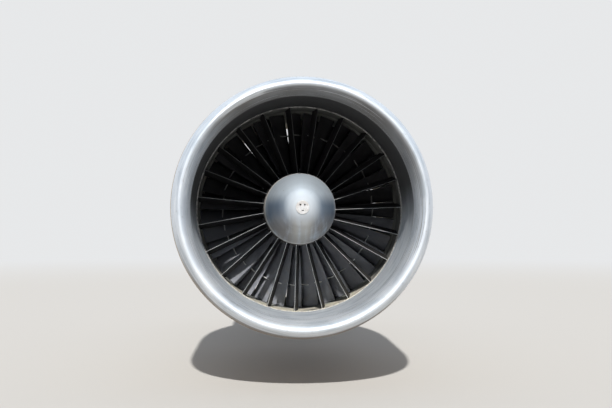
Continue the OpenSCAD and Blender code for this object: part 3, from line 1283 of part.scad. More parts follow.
placed() fuel_pump();
placed() oil_tank();
placed() front_hanger();
placed() rear_hanger();
placed() cowl_beam();
placed() hinge_pins();
placed() cowl_door_left();
placed() cowl_door_right();
placed() latch_front();
placed() latch_middle();
placed() latch_rear();
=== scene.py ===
import math

import bmesh
import bpy
import numpy as np
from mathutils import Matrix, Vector


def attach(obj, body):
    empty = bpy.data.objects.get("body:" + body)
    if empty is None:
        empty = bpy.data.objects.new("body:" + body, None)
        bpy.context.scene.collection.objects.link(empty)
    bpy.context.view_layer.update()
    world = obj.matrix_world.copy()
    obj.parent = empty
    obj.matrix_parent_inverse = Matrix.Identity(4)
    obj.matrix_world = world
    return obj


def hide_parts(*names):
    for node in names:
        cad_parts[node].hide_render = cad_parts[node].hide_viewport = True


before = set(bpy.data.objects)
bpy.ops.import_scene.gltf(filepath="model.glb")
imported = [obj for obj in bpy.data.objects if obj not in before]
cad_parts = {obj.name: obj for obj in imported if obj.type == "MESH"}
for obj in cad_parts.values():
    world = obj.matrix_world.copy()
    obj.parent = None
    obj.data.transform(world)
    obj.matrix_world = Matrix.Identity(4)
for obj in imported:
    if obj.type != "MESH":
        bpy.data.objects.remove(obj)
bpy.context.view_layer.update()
scene = bpy.context.scene


# The view of the photograph: from about five metres ahead of the guide vanes, a little to the
# left of the engine's axis and below it, almost straight in.
PHOTO_WIDTH = 612
FOCAL_PIXELS = 791
camera_data = bpy.data.cameras.new("photo_camera")
camera_data.sensor_width = 36.0
camera_data.lens = 36.0 * FOCAL_PIXELS / PHOTO_WIDTH
camera_data.clip_end = 200
camera = bpy.data.objects.new("photo_camera", camera_data)
camera.location = (-0.227, -5.662, -0.972)
looked_at = Vector((0.0405, -0.6675, -0.819))
camera.rotation_euler = (looked_at - camera.location).to_track_quat("-Z", "Y").to_euler()
scene.collection.objects.link(camera)
scene.camera = camera
scene.view_settings.view_transform = "Standard"


# Light: one sun-like lamp high in front, whose soft-edged beam reaches the floor of the inlet and
# the lower fan blades. The room is weak in front, so that the inlet stays dark inside, and
# brighter at the back. Metal mirrors a pale room with a dark band round it, darkest at its sides.
sun_data = bpy.data.lights.new("key_lamp", "SUN")
sun_data.energy = 3.9
sun_data.angle = math.radians(1.6)
sun_data.color = (1.0, 0.985, 0.955)
sun = bpy.data.objects.new("key_lamp", sun_data)
SUN_HEIGHT = math.radians(45)
SUN_SIDE = math.radians(-2)
sun_way = Vector((math.sin(SUN_SIDE) * math.cos(SUN_HEIGHT),
                  -math.cos(SUN_SIDE) * math.cos(SUN_HEIGHT), math.sin(SUN_HEIGHT)))
sun.rotation_euler = sun_way.to_track_quat("Z", "Y").to_euler()
scene.collection.objects.link(sun)


class Wire:
    """One socket of a shader, so that masks and colours are written as sums."""

    def __init__(self, tree, socket=None):
        self.tree = tree
        self.socket = socket

    def make(self, kind, settings=None, joins=None, out=0):
        """Adds one node: its settings first, then the values or wires of its sockets."""
        node = self.tree.nodes.new("ShaderNode" + kind)
        for key, value in (settings or {}).items():
            if key == "stops":
                stops = node.color_ramp.elements
                while len(stops) < len(value):
                    stops.new(0.5)
                for stop, (place, shade) in zip(stops, value):
                    stop.position = place
                    stop.color = (*shade, 1.0)
            else:
                setattr(node, key, value)
        for key, value in (joins or {}).items():
            socket = node.inputs[key]
            if isinstance(value, Wire):
                self.tree.links.new(value.socket, socket)
            elif isinstance(value, tuple) and len(value) < len(socket.default_value):
                socket.default_value = (*value, 1.0)
            else:
                socket.default_value = value
        return Wire(self.tree, node.outputs[out])

    def _math(self, operation, first, second=None):
        joins = {0: first} if second is None else {0: first, 1: second}
        return self.make("Math", {"operation": operation}, joins)

    def __add__(self, other):
        return self._math("ADD", self, other)

    def __radd__(self, other):
        return self._math("ADD", other, self)

    def __sub__(self, other):
        return self._math("SUBTRACT", self, other)

    def __rsub__(self, other):
        return self._math("SUBTRACT", other, self)

    def __mul__(self, other):
        return self._math("MULTIPLY", self, other)

    def __truediv__(self, other):
        return self._math("DIVIDE", self, other)

    def __pow__(self, other):
        return self._math("POWER", self, other)

    def __abs__(self):
        return self._math("ABSOLUTE", self)

    def wave(self):
        """Sine of the value."""
        return self._math("SINE", self)

    def near(self, middle, width):
        """1 within width of middle, and 0 elsewhere."""
        return self.make("Math", {"operation": "COMPARE"}, {0: self, 1: middle, 2: width})

    def part(self, axis):
        """One of the three numbers of a vector."""
        return self.make("SeparateXYZ", joins={0: self}, out=axis)

    def stretched(self, x, y, z):
        """The vector with its three directions scaled."""
        return self.make("VectorMath", {"operation": "MULTIPLY"}, {0: self, 1: (x, y, z)})

    def ramp(self, low, high, to_low=0.0, to_high=1.0):
        """Smooth step from to_low at low to to_high at high."""
        return self.make("MapRange", {"interpolation_type": "SMOOTHSTEP"},
                         {"Value": self, "From Min": low, "From Max": high,
                          "To Min": to_low, "To Max": to_high})

    def noise(self, scale, detail=4.0, rough=0.55):
        """Cloudy grey between 0 and 1 at the places this vector gives."""
        return self.make("TexNoise", joins={"Vector": self, "Scale": scale, "Detail": detail,
                                            "Roughness": rough})

    def tint(self, bare, covered):
        """The colour bare where this mask is 0 and covered where it is 1."""
        return self.make("Mix", {"data_type": "RGBA"}, {0: self, 6: bare, 7: covered}, out=2)

    def between(self, first, second):
        """The first colour where this noise is low, and the second where it is high."""
        return self.ramp(0.3, 0.7).tint(first, second)

    def bands(self, *stops):
        """Colours met one after the other at these values."""
        return self.make("ValToRGB", {"stops": stops}, {0: self})


FLANGE_Y = -0.6675
AXIS_UP = -0.85


def at(station):
    """Row Y in metres of a station in millimetres aft of the inlet flange."""
    return station / 1000 + FLANGE_Y


def new_finish(name):
    """A material, the place on it, that place's way across, aft and up, and out from the axis."""
    material = bpy.data.materials.new(name)
    material.use_nodes = True
    place = Wire(material.node_tree).make("TexCoord", out=3)
    across = place.part(0)
    up = place.part(2) - AXIS_UP
    reach = (across * across + up * up) ** 0.5
    return material, place, across, place.part(1), up, reach


def coated(colour, *coats):
    """The colour under its coats of (mask, colour), laid one after the other."""
    for mask, shade in coats:
        colour = mask.tint(colour, shade)
    return colour


def set_shader(material, colour, rough, metal=0.0, relief=None, depth=0.001, **fixed):
    """Joins colours, masks and relief to the shader; fixed values go on its own sockets."""
    shader = material.node_tree.nodes["Principled BSDF"]
    for key, value in (("Base Color", colour), ("Roughness", rough), ("Metallic", metal)):
        if isinstance(value, Wire):
            material.node_tree.links.new(value.socket, shader.inputs[key])
        else:
            shader.inputs[key].default_value = (*value, 1.0) if key == "Base Color" else value
    if relief is not None:
        bump = relief.make("Bump", joins={"Strength": 1.0, "Distance": depth, "Height": relief})
        material.node_tree.links.new(bump.socket, shader.inputs["Normal"])
    for key, value in fixed.items():
        shader.inputs[key.replace("_", " ")].default_value = value


# Floor: a broad pale floor under the hanging engine. Far out it runs into the background, so
# that no horizon shows, and it keeps the engine's shadow.
FLOOR_UP = -1.905
FLOOR_R = 60
FLOOR_SIDES = 64
PALE = (0.80, 0.81, 0.82)
floor_mesh = bpy.data.meshes.new("studio_floor")
floor_turns = [2 * math.pi * k / FLOOR_SIDES for k in range(FLOOR_SIDES)]
floor_mesh.from_pydata([(FLOOR_R * math.cos(turn), FLOOR_R * math.sin(turn), FLOOR_UP)
                        for turn in floor_turns], [], [tuple(range(FLOOR_SIDES))])
floor = bpy.data.objects.new("studio_floor", floor_mesh)
scene.collection.objects.link(floor)
floor_paint = bpy.data.materials.new("pale_floor")
floor_paint.use_nodes = True
floor_mesh.materials.append(floor_paint)
floor_place = Wire(floor_paint.node_tree).make("TexCoord", out=3)
floor_out = (floor_place.part(0) ** 2 + floor_place.part(1) ** 2) ** 0.5
floor_far = floor_out.ramp(7.0, 20.0)
near_floor = floor_far.make("BsdfDiffuse", joins={"Color": (0.58, 0.56, 0.53)})
far_floor = floor_far.make("Emission", joins={"Color": PALE, "Strength": 1.0})
blended_floor = floor_far.make("MixShader", joins={0: floor_far, 1: near_floor, 2: far_floor})
floor_paint.node_tree.links.new(blended_floor.socket,
                                floor_paint.node_tree.nodes["Material Output"].inputs["Surface"])

world = bpy.data.worlds.new("pale_sky")
world.use_nodes = True
scene.world = world
way = Wire(world.node_tree).make("TexCoord", out=0)
behind = way.part(1).ramp(-0.35, 0.55)
room_light = way.part(2).ramp(-0.3, 0.6).tint((0.60, 0.58, 0.55), (0.72, 0.78, 0.88))
lit_room = behind.make("Background", joins={"Color": room_light, "Strength": 0.30 + behind * 0.62})
sideways = abs(way.part(0)).ramp(0.35, 0.8)
band = way.part(2).ramp(-0.60, -0.12) * way.part(2).ramp(0.42, 0.10)
band = band * (1 - way.part(1).ramp(-0.1, 0.5)) * (0.26 + sideways * 0.72)
mirrored = coated(
    way.part(2).ramp(0.0, 0.7).tint((0.84, 0.86, 0.88), (0.64, 0.74, 0.86)),
    (way.part(2).ramp(-0.05, -0.35), (0.62, 0.60, 0.57)),
    (band, (0.05, 0.08, 0.14)))
seen = way.make("LightPath", out=0)
glossy = way.make("LightPath", out=3)
shown = seen.tint(mirrored, PALE)
shown_room = behind.make("Background", joins={"Color": shown, "Strength": 1.0})
both_skies = seen.make("MixShader", joins={0: seen + glossy, 1: lit_room, 2: shown_room})
world.node_tree.links.new(both_skies.socket,
                          world.node_tree.nodes["World Output"].inputs["Surface"])


# Inlet lip: one ring of polished sheet, spun from its throat round the foremost edge and a hand's
# breadth back along the outside. Weather has left it satin and blotchy, with fine scratches round
# it. Its inside is darkened towards the top by painted shade, and its outside is a darker brown
# below. The pod's skin is drawn 0.6 mm inside its true radius of 785, so that the rivets' heads
# stay within the pod's size.
DUCT_R = 648
LIP_R = 700
POD_R = 784.4
TAPER_AT = 400
TAPER_LEN = 850
POD_END_R = 668
LIP_AT = -560
THROAT_AT = -420
POD_FULL_AT = -100
LIP_END_AT = -440
SHEET = 3


def pod_radius(station):
    """Radius of the pod's outer surface."""
    if station < POD_FULL_AT:
        share = (station - POD_FULL_AT) / (LIP_AT - POD_FULL_AT)
        return LIP_R + (POD_R - LIP_R) * math.sqrt(max(0.0, 1 - share * share))
    if station < TAPER_AT:
        return POD_R
    return POD_R - (POD_R - POD_END_R) * ((station - TAPER_AT) / TAPER_LEN) ** 3


def spot(radius, clock, station, sideways=0.0):
    """Row place at a radius, a clock angle seen from the front and a station."""
    turn = math.radians(clock)
    return Vector(((radius * math.cos(turn) + sideways * math.sin(turn)) / 1000, at(station),
                   AXIS_UP + (radius * math.sin(turn) - sideways * math.cos(turn)) / 1000))


def finished(name, mesh, material, replaced=(), corner=0.0, sharp=30, body="engine"):
    """Makes one piece of a mesh: smooth but for its edges, with its ride, slot and finish."""
    mesh.name = name
    mesh.validate()
    mesh.shade_smooth()
    mesh.set_sharp_from_angle(angle=math.radians(sharp))
    made = bpy.data.objects.new(name, mesh)
    scene.collection.objects.link(made)
    mesh.materials.clear()
    mesh.materials.append(material)
    if corner:
        rounding = made.modifiers.new("rounded_edges", "BEVEL")
        rounding.width = corner
        rounding.segments = 2
        rounding.limit_method = "ANGLE"
        rounding.angle_limit = math.radians(40)
        rounding.harden_normals = True
    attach(made, body)
    if replaced:
        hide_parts(*replaced)


def closed_mesh(points, faces):
    """A mesh of these faces, all turned outwards."""
    mesh = bpy.data.meshes.new("shape")
    mesh.from_pydata(points, [], faces)
    work = bmesh.new()
    work.from_mesh(mesh)
    bmesh.ops.recalc_face_normals(work, faces=work.faces)
    work.to_mesh(mesh)
    work.free()
    return mesh


def turned_mesh(outline, steps=288):
    """A closed outline of (radius, station) millimetres, turned round the engine's axis."""
    size = len(outline)
    points = [spot(radius, 360 * k / steps, station)
              for k in range(steps) for radius, station in outline]
    faces = []
    for k in range(steps):
        here, there = k * size, (k + 1) % steps * size
        for i in range(size):
            j = (i + 1) % size
            faces.append((here + i, here + j, there + j, there + i))
    return closed_mesh(points, faces)


def inside_of(line, thick):
    """The line moved sideways by the sheet's thickness, to the left of its direction."""
    moved = []
    for i, (radius, station) in enumerate(line):
        r0, s0 = line[max(i - 1, 0)]
        r1, s1 = line[min(i + 1, len(line) - 1)]
        size = math.hypot(r1 - r0, s1 - s0)
        moved.append((radius - thick * (s1 - s0) / size, station + thick * (r1 - r0) / size))
    return moved


lip_turn_end = math.acos((LIP_END_AT - POD_FULL_AT) / (LIP_AT - POD_FULL_AT))
lip_line = [(LIP_R - (LIP_R - DUCT_R) * math.cos(turn),
             THROAT_AT - (THROAT_AT - LIP_AT) * math.sin(turn))
            for turn in (math.radians(84) * k / 39 for k in range(40))]
lip_line += [(LIP_R + (POD_R - LIP_R) * math.sin(turn),
              POD_FULL_AT + (LIP_AT - POD_FULL_AT) * math.cos(turn))
             for turn in (lip_turn_end * k / 47 for k in range(48))]
lip_back = inside_of(lip_line, SHEET)
lip_back[0] = (DUCT_R + SHEET, THROAT_AT)
lip_back[-1] = (lip_line[-1][0] - SHEET, LIP_END_AT)


def turned_grain(across, along, up, spread, detail):
    """Noise drawn out round the axis, as turning and wiping leave it."""
    return along.make("CombineXYZ", joins={0: across * spread, 1: along, 2: up * spread}).noise(
        1.0, detail)


lip_metal, place, across, aft, up, reach = new_finish("weathered_lip_metal")
lines = turned_grain(across, aft * 150 + reach * 150, up, 2.2, 5)
clouds = place.noise(3.2, 5)
spots = place.noise(38.0, 3).ramp(0.62, 0.75)
scores = turned_grain(across, aft * 300 + reach * 300, up, 1.3, 3)
mottle = turned_grain(across, aft * 24 + reach * 24, up, 5, 5)
low_side = up.ramp(0.1, -0.72)
inner = reach.ramp(0.704, 0.676)
# Painted shade: the inner lip is darkened towards the top.
painted_top_shade = (up + across * 0.22).ramp(0.06, 0.52) * inner * (0.62 + clouds * 0.6)
# Darker brown on the outside of the lip towards the bottom.
lower_outer_darkening = (reach.ramp(0.733, 0.743) * (up * -1.0 - across * 0.15).ramp(0.32, 0.55)
       * (0.55 + clouds * 0.6))
dust = (clouds * 0.6 + lines * 0.5).ramp(0.46, 0.72) * (0.25 + low_side * 0.35)
lip_tint = coated(
    lines.between((0.65, 0.70, 0.76), (0.79, 0.83, 0.88)),
    (mottle.ramp(0.50, 0.66) * 0.75, (0.50, 0.56, 0.62)),
    (mottle.ramp(0.46, 0.34) * 0.7, (0.86, 0.89, 0.92)),
    (dust, (0.62, 0.64, 0.66)),
    (spots * 0.35, (0.42, 0.42, 0.42)),
    (painted_top_shade * 0.88, (0.125, 0.115, 0.105)),
    (scores.ramp(0.58, 0.66) * (0.25 + inner * 0.45), (0.24, 0.22, 0.20)),
    (scores.ramp(0.40, 0.34) * (0.25 + inner * 0.35), (0.90, 0.92, 0.94)),
    (lower_outer_darkening * 0.9, (0.15, 0.115, 0.085)))
set_shader(lip_metal, lip_tint, 0.41 + clouds * 0.12 + lines * 0.08 + dust * 0.12 + painted_top_shade * 0.15,
           0.62 - dust * 0.2 - painted_top_shade * 0.2 - lower_outer_darkening * 0.35, lines * 0.0006 + clouds * 0.01, 0.35)
finished("lip_skin", turned_mesh(lip_line + lip_back[::-1]), lip_metal, ["inlet_lip"])


# Inlet barrel: the straight duct from the lip's throat to the engine's flange, of bare satin
# sheet. Its upper half is darkened by painted shade, it is dusty along its floor, and flush rivets
# follow its front edge.
BARREL = 14
FLANGE_R = DUCT_R + 42
barrel_metal, place, across, aft, up, _ = new_finish("dusty_duct_metal")
lines = turned_grain(across, aft * 130, up, 2.5, 5)
clouds = place.noise(2.6, 5)
streaks = place.stretched(9, 1.2, 9).noise(1.0, 4)
floor_side = up.ramp(-0.15, -0.62)
joint_line = aft.near(at(THROAT_AT + 5), 0.0035)
rivet_line = aft.near(at(THROAT_AT + 24), 0.0035)
turning = across.make("Math", {"operation": "ARCTAN2"}, {0: up, 1: across})
rivet_dots = (turning * 140.0).wave().ramp(0.5, 0.8)
marks = joint_line * 0.8 + rivet_line * rivet_dots * 0.5
dust = (clouds * 0.55 + streaks * 0.55).ramp(0.48, 0.74) * (0.2 + floor_side * 0.5)
# Painted shade: the upper half of the duct is made near-black.
painted_top_shade = (up + across * -0.06 + (clouds - 0.5) * 0.16).ramp(-0.27, 0.12)
mottle = place.stretched(7, 16, 7).noise(1.0, 5)
barrel_tint = coated(
    lines.between((0.66, 0.71, 0.77), (0.80, 0.84, 0.89)),
    (mottle.ramp(0.50, 0.64) * 0.6, (0.50, 0.56, 0.62)),
    (mottle.ramp(0.46, 0.34) * 0.7, (0.86, 0.89, 0.92)),
    (dust, (0.62, 0.65, 0.68)),
    (painted_top_shade * 0.97, (0.030, 0.028, 0.027)),
    (marks * 0.6, (0.20, 0.19, 0.18)))
set_shader(barrel_metal, barrel_tint,
           0.40 + clouds * 0.12 + lines * 0.08 + dust * 0.12 + painted_top_shade * 0.1,
           0.58 - dust * 0.2 - painted_top_shade * 0.35, lines * 0.0006 + clouds * 0.012 + marks * -0.002, 0.35)
barrel_line = [(DUCT_R, THROAT_AT + 0.4), (DUCT_R, -0.4), (DUCT_R + 1, 0), (FLANGE_R - 1, 0),
               (FLANGE_R, -1), (FLANGE_R, -9), (FLANGE_R - 1, -10), (DUCT_R + BARREL, -10),
               (DUCT_R + BARREL, THROAT_AT), (DUCT_R + 0.8, THROAT_AT)]
finished("inlet_duct", turned_mesh(barrel_line), barrel_metal, ["inlet_barrel"])


# Joint seal: a thin bead of grey compound pressed into the joint between the barrel and the inlet
# case. It has cracked and holds dust, so it looks mottled.
seal_paste, place, _, _, up, _ = new_finish("mottled_seal_paste")
crumbs = place.noise(55, 4)
seal_tint = crumbs.ramp(0.40, 0.62).tint((0.30, 0.29, 0.275), (0.085, 0.083, 0.08))
seal_tint = (up.ramp(-0.25, -0.5) * crumbs.ramp(0.38, 0.52)).tint(seal_tint, (0.46, 0.43, 0.36))
set_shader(seal_paste, seal_tint, 0.75, 0.0, crumbs * 0.04, 0.05)
bead_line = [(DUCT_R + 0.4, -13), (DUCT_R - 3.4, -11.5), (DUCT_R - 5.2, -9), (DUCT_R - 5.6, -6),
             (DUCT_R - 4.8, -3), (DUCT_R - 2.8, -1), (DUCT_R + 0.4, -0.6)]
finished("joint_seal", turned_mesh(bead_line), seal_paste, sharp=60)


# Nose bullet: a fixed dome spun from one sheet, ahead of the vanes. It keeps faint spinning rings
# and runs of rain marks below. It carries a painted reflection, pale blue over its upper half and
# dark on its flanks, and a painted highlight round its tip. Its rear edge is rubbed to a pale line,
# painted brighter on top as a highlight.
BULLET_R = 224
BULLET_LEN = 395
CAP_R = 36
tip_turn = math.asin(CAP_R / BULLET_R)
bullet_tip = -BULLET_LEN * math.cos(tip_turn)
dome_turns = [tip_turn + (math.pi / 2 - tip_turn) * k / 63 for k in range(64)]
dome = [(BULLET_R * math.sin(turn), -BULLET_LEN * math.cos(turn)) for turn in dome_turns]
dome_back = [(r, s) for r, s in inside_of(dome, SHEET) if s < -14]
bullet_outline = ([(CAP_R, bullet_tip + SHEET)] + dome[:-1]
                  + [(BULLET_R, -0.6), (BULLET_R - 0.6, 0), (BULLET_R - 28, 0),
                     (BULLET_R - 28, -12), (BULLET_R - SHEET, -12)] + dome_back[::-1][:-1])
bullet_metal, place, across, aft, up, reach = new_finish("spun_bullet_metal")
rings = turned_grain(across, (aft + reach * -0.8) * 190, up, 3, 4)
clouds = place.noise(5.5, 5)
runs = place.stretched(30, 1, 5).noise(1.0, 5)
tip = reach.ramp(0.13, 0.035)
lower = up.ramp(0.02, -0.14)
pits = place.noise(70, 3).ramp(0.66, 0.75)
grime = (runs * 0.75 + clouds * 0.4).ramp(0.40, 0.66) * (0.08 + lower * 0.80)
side_out = abs(across)
height = abs(up + 0.012 + (clouds - 0.5) * 0.03)
# Painted reflection: dark blue on the flanks at mid-height.
painted_flank_reflection = side_out.ramp(0.045, 0.15) * height.ramp(0.105, 0.015) * reach.ramp(0.222, 0.195)
foot = (up.ramp(-0.05, -0.10) * side_out.ramp(0.10, 0.02) * up.ramp(-0.20, -0.12, 0.5, 1.0)
        * (0.2 + runs))
# Pale rubbed line round the rear edge, painted brighter on top as a highlight.
edge_rub_and_highlight = reach.ramp(0.213, 0.2195) * up.ramp(-0.19, 0.02, 0.35, 1.0) * (0.6 + clouds * 0.7)
bullet_tint = coated(
    rings.between((0.42, 0.475, 0.54), (0.52, 0.58, 0.64)),
    # Painted reflection: the upper half is a paler blue.
    (up.ramp(-0.01, 0.10) * 0.6, (0.60, 0.67, 0.73)),
    (painted_flank_reflection * 0.85, (0.13, 0.19, 0.27)),
    (grime, (0.235, 0.215, 0.20)),
    (foot * 0.7, (0.70, 0.68, 0.62)),
    (pits * 0.4, (0.30, 0.30, 0.30)),
    # Painted highlight: the tip round the cap is lighter.
    (tip * 0.8, (0.60, 0.64, 0.68)),
    (edge_rub_and_highlight * 0.9, (0.78, 0.74, 0.68)))
set_shader(bullet_metal, bullet_tint,
           0.56 + clouds * 0.10 + rings * 0.05 + grime * 0.10 + tip * 0.22,
           0.68 - grime * 0.30 - edge_rub_and_highlight * 0.3 - tip * 0.42, rings * 0.0008 + clouds * 0.010, 0.3)
finished("nose_dome", turned_mesh(bullet_outline, 192), bullet_metal,
         ["nose_bullet"])


# Cap on the bullet's tip: a small screwed disc with two air holes and a curved slot. Its edge is
# rounded, and the metal is duller than the dome and stained round its holes.


def cleaned_copy(node):
    """The CAD node's shape as a new mesh, with its split corners joined and its flats whole."""
    work = bmesh.new()
    work.from_mesh(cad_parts[node].data)
    bmesh.ops.remove_doubles(work, verts=work.verts, dist=1.5e-5)
    bmesh.ops.dissolve_limit(work, angle_limit=math.radians(0.3), verts=work.verts,
                             edges=work.edges)
    work.verts.ensure_lookup_table()
    mesh = bpy.data.meshes.new("shape")
    mesh.from_pydata([v.co.copy() for v in work.verts], [],
                     [[v.index for v in face.verts] for face in work.faces])
    work.free()
    return mesh


def recut(node, name, material, corner, sharp=30, body="engine"):
    """Makes one piece in the CAD node's own shape, with its edges rounded."""
    finished(name, cleaned_copy(node), material, [node], corner, sharp, body)


cap_metal, place, *_ = new_finish("stained_cap_metal")
clouds = place.noise(40, 4)
cap_tint = clouds.ramp(0.35, 0.65).tint((0.86, 0.85, 0.84), (0.66, 0.63, 0.60))
cap_tint = (place.noise(90, 3).ramp(0.6, 0.7) * 0.6).tint(cap_tint, (0.36, 0.27, 0.21))
set_shader(cap_metal, cap_tint, 0.34 + clouds * 0.2, 0.9, clouds * 0.01, 0.05)
recut("bullet_cap", "dome_cap", cap_metal, 0.0012)


# Inlet case: the ring that holds the guide vanes. Its inner wall is dull, and years of silt and
# lichen lie on its floor between the vanes.
case_metal, place, _, _, up, reach = new_finish("silted_case_metal")
clouds = place.noise(9.0, 6)
crumbs = place.noise(60, 4)
floor_band = up.ramp(-0.36, -0.56)
wall = reach.ramp(0.652, 0.648)
silt = (clouds * 0.75 + crumbs * 0.35).ramp(0.34, 0.60) * floor_band * wall
lichen = place.noise(16, 5).ramp(0.56, 0.66) * floor_band * wall
case_tint = coated(
    clouds.between((0.16, 0.16, 0.15), (0.27, 0.265, 0.25)),
    (silt, (0.56, 0.52, 0.43)),
    (lichen * 0.75, (0.50, 0.52, 0.33)),
    (crumbs.ramp(0.64, 0.70) * floor_band * 0.8, (0.20, 0.14, 0.09)))
set_shader(case_metal, case_tint, 0.55 + clouds * 0.2 + silt * 0.25, 0.55 - silt * 0.5,
           crumbs * 0.05 * silt + clouds * 0.01, 0.12)
recut("inlet_case", "vane_ring", case_metal, 0.0008)


# Guide vanes: hollow fixed vanes of dark alloy from the hub to the case. Sand has rubbed their
# leading edges bright, painted brighter on the lower vanes as a highlight, and each end flares into
# a small fillet.
HUB_R = 228
VANE_COUNT = 23
VANE_CHORD = 148
VANE_THICK = 12.4
VANE_BOW = 5
VANE_AT = 84
VANE_LEAN = math.radians(11)
VANE_FIRST = 2.4
VANE_FLARES = ((HUB_R + 0.3, 1.9), (HUB_R + 2.5, 1.45), (HUB_R + 6, 1.14), (HUB_R + 12, 1.0),
               (DUCT_R - 13, 1.0), (DUCT_R - 7, 1.14), (DUCT_R - 3, 1.45), (DUCT_R - 1.0, 1.8))


def foil(chord, thick, bow, n):
    """Outline of a blade: (towards the leading edge, sideways), round in front, thin behind."""
    upper, lower = [], []
    for k in range(n + 1):
        share = (1 - math.cos(math.pi * k / n)) / 2
        middle = 4 * bow * share * (1 - share)
        half = thick / 2 * math.sqrt(max(0.0, 1 - (2 * share - 1) ** 2)) * (1.06 - 0.28 * share)
        upper.append((chord * (0.5 - share), middle + half))
        lower.append((chord * (0.5 - share), middle - half))
    return upper + lower[-2:0:-1]


def lofted_faces(rings, size, offset):
    """Faces of one closed body through rings of the same number of points."""
    faces = [(offset + k * size + i, offset + k * size + (i + 1) % size,
              offset + (k + 1) * size + (i + 1) % size, offset + (k + 1) * size + i)
             for k in range(rings - 1) for i in range(size)]
    faces.append(tuple(offset + i for i in range(size - 1, -1, -1)))
    faces.append(tuple(offset + (rings - 1) * size + i for i in range(size)))
    return faces


def blade_mesh(bodies):
    """One mesh of many lofted bodies, each a list of rings of points."""
    points, faces = [], []
    for rings in bodies:
        faces += lofted_faces(len(rings), len(rings[0]), len(points))
        points += [point for ring in rings for point in ring]
    return closed_mesh(points, faces)


vane_metal, place, _, aft, up, _ = new_finish("sanded_vane_metal")
clouds = place.noise(14, 5)
scuffs = place.stretched(40, 30, 40).noise(1.0, 4)
front = aft.ramp(at(16), at(13.2))
worn = (front * (0.75 + scuffs * 0.6)).ramp(0.45, 0.95)
dusty = (up.ramp(-0.05, -0.45) * clouds).ramp(0.2, 0.6)
vane_tint = coated(
    clouds.between((0.016, 0.016, 0.017), (0.032, 0.031, 0.031)),
    (dusty * 0.5, (0.085, 0.080, 0.072)),
    # Painted highlight: the worn leading edges are whiter on the lower vanes.
    (worn * up.ramp(0.30, -0.20, 0.30, 1.0), (0.92, 0.93, 0.93)))
set_shader(vane_metal, vane_tint, 0.50 + clouds * 0.2 - worn * 0.1, 0.35 + worn * 0.35,
           scuffs * 0.01 + clouds * 0.006, 0.05, Specular_IOR_Level=0.2)
vanes = []
for k in range(VANE_COUNT):
    clock = VANE_FIRST + 360 * k / VANE_COUNT
    rings = []
    for out, flare in VANE_FLARES:
        ring = []
        chord = VANE_CHORD * (1 + 0.012 * (flare - 1))
        for ahead, side in foil(chord, VANE_THICK * flare, VANE_BOW, 14):
            turned_side = ahead * math.sin(VANE_LEAN) + side * math.cos(VANE_LEAN)
            turned_ahead = ahead * math.cos(VANE_LEAN) - side * math.sin(VANE_LEAN)
            ring.append(spot(out, clock, VANE_AT - turned_ahead, turned_side))
        rings.append(ring)
    vanes.append(rings)
finished("inlet_vanes", blade_mesh(vanes), vane_metal, ["guide_vanes"], sharp=50)


# First fan stage: twisted blades of dark titanium, painted near-black above as shade and light
# below as sunlight. Each carries half of a mid-span shroud on either side, rubbed pale in front and
# painted brighter there below as a highlight.
FAN_COUNT = 35
FAN_AT = 272.5
TIP_R = 644
SHROUD_R = 496
SHROUD_W = 34
SHROUD_T = 9
SHROUD_RISE = 5
HUB_STATIONS = (0, 170, 190, 570, 765)
HUB_RADII = (228, 228, 236, 304, 338)
FAN_ROWS = [(0, 11, 12, -16), (0.33, 8.5, 9, -32), (0.68, 6, 5, -48), (1, 3.6, 2.5, -60)]
FAN_CHORDS = (132, 116)
FAN_RINGS = 14


def hub_radius(station):
    """Radius of the wall at the blades' roots."""
    return float(np.interp(station, HUB_STATIONS, HUB_RADII))


def twisted_rings(clock):
    """Rings of one blade: rows of (share of span, thickness, bow, lean), smoothed between."""
    shares, *sizes = zip(*FAN_ROWS)
    smooth = [np.polyfit(shares, size, len(shares) - 1) for size in sizes]
    rings = []
    for k in range(FAN_RINGS):
        share = k / (FAN_RINGS - 1)
        thick, bow, lean = (float(np.polyval(line, share)) for line in smooth)
        chord = FAN_CHORDS[0] + (FAN_CHORDS[1] - FAN_CHORDS[0]) * share
        turn = math.radians(lean)
        ring = []
        for ahead, side in foil(chord, thick, bow, 10):
            forward = ahead * math.cos(turn) - side * math.sin(turn)
            sideways = ahead * math.sin(turn) + side * math.cos(turn)
            station = FAN_AT - forward
            out = hub_radius(station) + 0.3 + (TIP_R - hub_radius(station) - 0.3) * share
            ring.append(spot(out, clock - math.degrees(sideways / out), station))
        rings.append(ring)
    return rings


fan_metal, place, across, aft, up, _ = new_finish("dark_fan_metal")
clouds = place.noise(7, 5)
grain = turned_grain(across, aft * 60, up, 14, 4)
tide = place.noise(24, 4).ramp(0.50, 0.68)
# Painted light and shade: near-black above and light grey below, as the light falls.
fan_painted_shade = clouds.between((0.024, 0.024, 0.026), (0.046, 0.045, 0.048))
fan_painted_light = clouds.between((0.215, 0.225, 0.255), (0.320, 0.330, 0.365))
fan_tint = (up + (clouds - 0.5) * 0.2).ramp(0.06, -0.26).tint(fan_painted_shade, fan_painted_light)
fan_tint = (tide * up.ramp(0.05, -0.3) * 0.45).tint(fan_tint, (0.27, 0.265, 0.25))
# Pale rub along the leading edges, painted stronger on the lower blades as a highlight.
front_rub_and_highlight = aft.ramp(at(FAN_AT - 40), at(FAN_AT - 60)) * up.ramp(0.1, -0.3, 0.05, 0.4)
fan_tint = front_rub_and_highlight.tint(fan_tint, (0.30, 0.30, 0.31))
set_shader(fan_metal, fan_tint, 0.44 + clouds * 0.16 + tide * 0.12, 0.25, grain * 0.004, 0.05,
           Specular_IOR_Level=0.2)
blades = [twisted_rings(360 * k / FAN_COUNT) for k in range(FAN_COUNT)]
finished("fan_blades_front", blade_mesh(blades), fan_metal, ["fan_blades_1"],
         sharp=50, body="low_spool")

shroud_metal, place, _, aft, up, _ = new_finish("rubbed_shroud_metal")
clouds = place.noise(30, 4)
